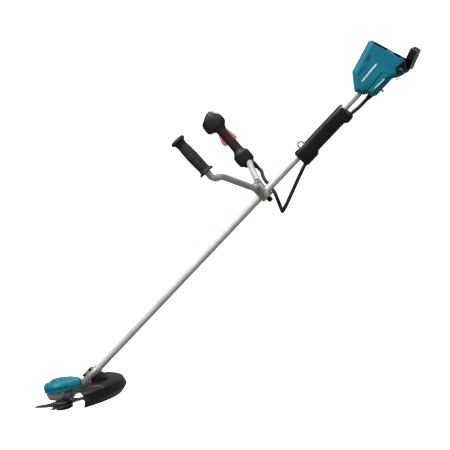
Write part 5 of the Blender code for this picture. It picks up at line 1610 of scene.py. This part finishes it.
class CUTTER_OT_motor(bpy.types.Operator):
    """Motor base with its neck, the faceted cap over it, and their screws"""
    bl_idname = "cutter.motor"
    bl_label = "Motor"

    def execute(self, context):
        cast, teal, dark = finishes()["cast"], finishes()["teal"], finishes()["dark"]
        complete(refined("motor_base_casting", "motor_base"), cast, ROOT, ["motor_base"],
                 rounding=0.7, crease=35)
        levels = [(MOTOR_SPLIT + GAP, 0.6), (MOTOR_SPLIT + 1.2, 0), (53.5, 0), (54.2, 1.2), (56.0, 1.2), (56.7, 0),
                  (65.5, 0), (67, 0.5), (73, 2.6), (74.4, 3.6), (78, 8), (79, 10), (82, 20), (84, 25), (84.2, 27),
                  (86.6, 32), (88, 37)]
        cap = solid("motor_cap_moulding", loft([cap_ring(inset, z) for z, inset in levels]), HEAD)
        hollow = [(MOTOR_SPLIT - 4, 3), (65, 3), (71, 5.5), (75.5, 11), (MOTOR_TOP - 1, 23)]
        vents = []
        for angle in range(35, 150, 9):
            for side in (-1, 1):
                a = math.radians(side * angle)
                slot = soft_block((-9, -1.5, -3.6), (9, 1.5, 3.6), 0.7, 2)
                outwards = Matrix.Translation((*polar(52, a), 61.5)) @ Matrix.Rotation(a, 4, 'Z')
                bmesh.ops.transform(slot, matrix=outwards, verts=slot.verts)
                vents.append(slot)
        grooves = []
        groove_fall = math.radians(12)
        for angle in (0, 52, 104, 156, 208, 260, 308):
            groove = soft_block((22, -1.0, 0), (64, 1.0, 14), 0.6, 2)
            lean = (Matrix.Translation((0, 0, MOTOR_TOP - 0.6)) @ Matrix.Rotation(math.radians(angle), 4, 'Z')
                    @ Matrix.Rotation(groove_fall, 4, 'Y'))
            bmesh.ops.transform(groove, matrix=lean, verts=groove.verts)
            grooves.append(groove)
        carve(cap, solid("cap_hollow", loft([cap_ring(inset, z, 72) for z, inset in hollow]), HEAD),
              solid("cap_vents", merged(*vents), HEAD), solid("cap_grooves", merged(*grooves), HEAD))
        complete(cap, teal, ROOT, ["motor_cap"], rounding=0.5, crease=24)
        slash = loft([[(x + h * 0.9, y, z) for x, y in ((-34, -26), (-30, -29), (-6, -6), (-10, -3))]
                      for h, z in ((0, 80.8), (0, 83.4))])
        complete(solid("cap_slash", slash, HEAD), finishes()["print"], ROOT, rounding=0.3)
        bosses = [((*polar(53.5, math.radians(angle)), MOTOR_SPLIT - 13), (0, 0, -1), (1, 0, 0))
                  for angle in BOSS_ANGLES]
        row = row_of("motor_base_screws", cap_screw(2.6, 2.4, 1.4, 6), bosses, HEAD, dark)
        complete(row, dark, ROOT)
        spots = [((x, -8 - GAP, 18.5), (0, -1, 0), (1, 0, 0)) for x in NECK_BOLTS]
        row = row_of("neck_screws", cap_screw(4.6, 4, 2.9, 15), spots, SHAFT, dark)
        complete(row, dark, ROOT, ["neck_bolt_front", "neck_bolt_rear"])
        return {'FINISHED'}


class CUTTER_OT_cutting_set(bpy.types.Operator):
    """Toothed blade with its flange, washer, nut and support cup"""
    bl_idname = "cutter.cutting_set"
    bl_label = "Cutting set"

    def execute(self, context):
        reach = context.scene.cutter_sizes.blade_radius / MM
        half, teeth, first = 0.9, 4, 168.0
        corners = [(62, -8), (74, 1), (reach * 0.93, 6), (reach, 12), (reach * 0.96, 18), (reach * 0.82, 30),
                   (78, 46), (65, 64)]
        spots = []
        for tooth in range(teeth):
            for radius, turn in corners:
                spots.append(polar(radius, math.radians(first + tooth * 360 / teeth + turn)))
        outline = [Vector(p) for p in rounded(spots, 2.2, 2)]
        bevel = 4 * half
        bm = bmesh.new()
        edge = [bm.verts.new((p.x, p.y, -0.15)) for p in outline]
        top_edge = [bm.verts.new((p.x, p.y, 0.15)) for p in outline]
        narrow = [p * (1 - bevel / p.length) for p in outline]
        top = [bm.verts.new((p.x, p.y, half)) for p in narrow]
        low = [bm.verts.new((p.x, p.y, -half)) for p in narrow]
        bridge(bm, [low, edge, top_edge, top])
        bm.faces.new(top)
        bm.faces.new(list(reversed(low)))
        blade = solid("blade_disc", bm, HEAD)
        holes = [rod((0, 0, -5), (0, 0, 5), 12.4 + 2 * GAP)]
        for tooth in range(teeth):
            x, y = polar(47, math.radians(first + tooth * 360 / teeth + 58))
            holes.append(rod((x, y, -5), (x, y, 5), 5.5))
        carve(blade, solid("blade_holes", merged(*holes), HEAD))
        complete(blade, finishes()["blade"], CUTTING, ["blade"], crease=12)
        blade.data.materials.append(finishes()["ground"])
        lean = HEAD.to_3x3().normalized() @ Vector((0, 0, 1))
        for face in blade.data.polygons:
            upright = abs(face.normal.dot(lean))
            if 0.3 < upright < 0.995:
                face.material_index = 1

        bore, shoulder = 5.0 + GAP, 12.0
        flange = [(24, shoulder), (25.5, 10.6), (29.6, 6.4), (30.8, 4.6), (31, 3.6), (31, half + GAP),
                  (12.4, half + GAP), (12.4, -half), (bore, -half), (bore, shoulder)]
        complete(solid("blade_flange_turned", turned(flange, 96), HEAD), finishes()["bright"], CUTTING,
                 ["blade_flange"])
        washer = [(22, -half - GAP), (24, -3), (24, -6), (bore, -6), (bore, -half - GAP)]
        complete(solid("clamp_washer_turned", turned(washer, 72), HEAD), finishes()["dark"], CUTTING,
                 ["clamp_washer"])
        cup = [(24, -6.3), (27.4, -7), (30, -8.5), (31.5, -11), (32, -14), (31.5, -17.4), (30, -20), (27.8, -22),
               (25, -23), (16, -23), (16, -21), (24, -21), (27, -19.4), (28.6, -17), (29, -14), (28, -11), (26, -9),
               (bore, -9), (bore, -6.3)]
        complete(solid("support_cup_pressed", turned(cup, 96), HEAD), finishes()["gloss_black"], CUTTING,
                 ["support_cup"])
        nut = solid("blade_nut_hex", turned([(9.8, -9.3), (9.8, -18), (bore, -18), (bore, -9.3)], 6), HEAD)
        complete(nut, finishes()["bright"], CUTTING, ["blade_nut"], rounding=0.5)
        return {'FINISHED'}


class CUTTER_OT_blade_guard(bpy.types.Operator):
    """Curved blade guard with its ribs, end frames, bracket and screws"""
    bl_idname = "cutter.blade_guard"
    bl_label = "Blade guard"

    def execute(self, context):
        black = finishes()["gloss_black"]
        outer = [(106, 60), (172, 60), (190, 59.2), (202, 57.2), (215, 53), (224.5, 48), (229.4, 36), (233, 22),
                 (224, 11), (213, 0)]
        inner = [(209, 0), (219.6, 12), (228.4, 21.8), (225.4, 34.2), (220.8, 45.4), (212.4, 50.2), (200.4, 54.4),
                 (188, 56.2), (172, 57), (106, 57)]
        sweep, steps = 100.0, 60
        rings = []
        for step in range(steps + 1):
            a = math.radians(-sweep / 2 + sweep * step / steps)
            rings.append([(*polar(r, a), z) for r, z in outer + inner])
        guard = solid("blade_guard_shell", loft(rings), HEAD)
        carve(guard, solid("neck_room", block((90, -19, 40), (131, 19, 80)), HEAD))
        complete(guard, black, ROOT, ["blade_guard"], rounding=0.5, crease=28)

        ribs = []
        rib_sweep, rib_steps, rib_height, rib_draft = 88, 40, 2.0, 0.5
        for r0, r1, z in ((140, 142.5, 59.4), (160, 162.5, 59.4), (182, 184.4, 58.9)):
            section = ((r0, z), (r1, z), (r1 - rib_draft, z + rib_height), (r0 + rib_draft, z + rib_height))
            rows = []
            for step in range(rib_steps + 1):
                a = math.radians(-rib_sweep / 2 + rib_sweep * step / rib_steps)
                rows.append([(*polar(r, a), h) for r, h in section])
            ribs.append(loft(rows))
        for angle in (-48.6, -24, 24, 48.6):
            fin = prism([(132, 57.6), (172, 57.5), (200, 55), (220, 46), (228, 22), (210, 2), (206, 2), (220, 22),
                         (212, 40), (196, 49), (172, 52.5), (132, 53)], -1.1, 1.1)
            bmesh.ops.transform(fin, matrix=Matrix.Rotation(math.radians(angle), 4, 'Z'), verts=fin.verts)
            ribs.append(fin)
        for angle in (-47.5, 47.5):
            brace = prism([(150, 57.4), (154, 57.4), (221, 14), (218, 11)], -1.0, 1.0)
            bmesh.ops.transform(brace, matrix=Matrix.Rotation(math.radians(angle), 4, 'Z'), verts=brace.verts)
            ribs.append(brace)
        complete(solid("blade_guard_ribs", merged(*ribs), HEAD), black, ROOT, rounding=0.3)

        complete(refined("guard_bracket_moulding", "guard_bracket"), black, ROOT,
                 ["guard_bracket"], rounding=1.0, steps=3)
        screws = [((166, y, 54.6), (0, 0, -1), (1, 0, 0)) for y in (-16, 16)]
        row = row_of("guard_screws", cap_screw(5.5, 4, 3, 8), screws, HEAD, finishes()["dark"])
        complete(row, finishes()["dark"], ROOT, ["guard_bolt_left", "guard_bolt_right"])
        return {'FINISHED'}


class CUTTER_OT_inner_parts(bpy.types.Operator):
    """Finishes of the solids that stay as they are, inside the tool"""
    bl_idname = "cutter.inner_parts"
    bl_label = "Inner parts"

    def execute(self, context):
        kept = {"copper": ["stator"], "dark": ["rotor"], "board": ["controller"], "rubber": ["motor_lead"],
                "black": ["main_switch"],
                "bright": ["spindle", "lower_bearing", "upper_bearing", "trigger_pin", "lever_pin", "trigger_spring",
                           "lever_spring"]}
        for finish, names in kept.items():
            for name in names:
                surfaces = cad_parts[name].data.materials
                surfaces.clear()
                surfaces.append(finishes()[finish])
        return {'FINISHED'}


class CUTTER_PT_builder(bpy.types.Panel):
    """Sizes, colours and one button for each group of pieces"""
    bl_idname = "CUTTER_PT_builder"
    bl_label = "Brush cutter"
    bl_space_type = 'VIEW_3D'
    bl_region_type = 'UI'
    bl_category = "Brush cutter"

    def draw(self, context):
        layout = self.layout
        for group in (context.scene.cutter_sizes, context.scene.cutter_colours):
            box = layout.box()
            for name in group.__annotations__:
                box.prop(group, name)
        for step in STEPS:
            layout.operator(step.bl_idname)


STEPS = (CUTTER_OT_stage, CUTTER_OT_cable, CUTTER_OT_handlebar, CUTTER_OT_clamp, CUTTER_OT_left_grip,
         CUTTER_OT_control_grip, CUTTER_OT_finger_controls, CUTTER_OT_tube, CUTTER_OT_sleeve, CUTTER_OT_hanger,
         CUTTER_OT_housing, CUTTER_OT_bays, CUTTER_OT_rear_guard, CUTTER_OT_motor, CUTTER_OT_cutting_set,
         CUTTER_OT_blade_guard, CUTTER_OT_inner_parts)


def register():
    for made in (CutterSizes, CutterColours, *STEPS, CUTTER_PT_builder):
        bpy.utils.register_class(made)
    bpy.types.Scene.cutter_sizes = bpy.props.PointerProperty(type=CutterSizes)
    bpy.types.Scene.cutter_colours = bpy.props.PointerProperty(type=CutterColours)


def unregister():
    del bpy.types.Scene.cutter_colours
    del bpy.types.Scene.cutter_sizes
    for made in (CUTTER_PT_builder, *reversed(STEPS), CutterColours, CutterSizes):
        bpy.utils.unregister_class(made)


def main():
    register()
    bpy.ops.cutter.stage()
    bpy.ops.cutter.cable()
    bpy.ops.cutter.handlebar()
    bpy.ops.cutter.clamp()
    bpy.ops.cutter.left_grip()
    bpy.ops.cutter.control_grip()
    bpy.ops.cutter.finger_controls()
    bpy.ops.cutter.tube()
    bpy.ops.cutter.sleeve()
    bpy.ops.cutter.hanger()
    bpy.ops.cutter.housing()
    bpy.ops.cutter.bays()
    bpy.ops.cutter.rear_guard()
    bpy.ops.cutter.motor()
    bpy.ops.cutter.cutting_set()
    bpy.ops.cutter.blade_guard()
    bpy.ops.cutter.inner_parts()


if __name__ == "__main__":
    main()
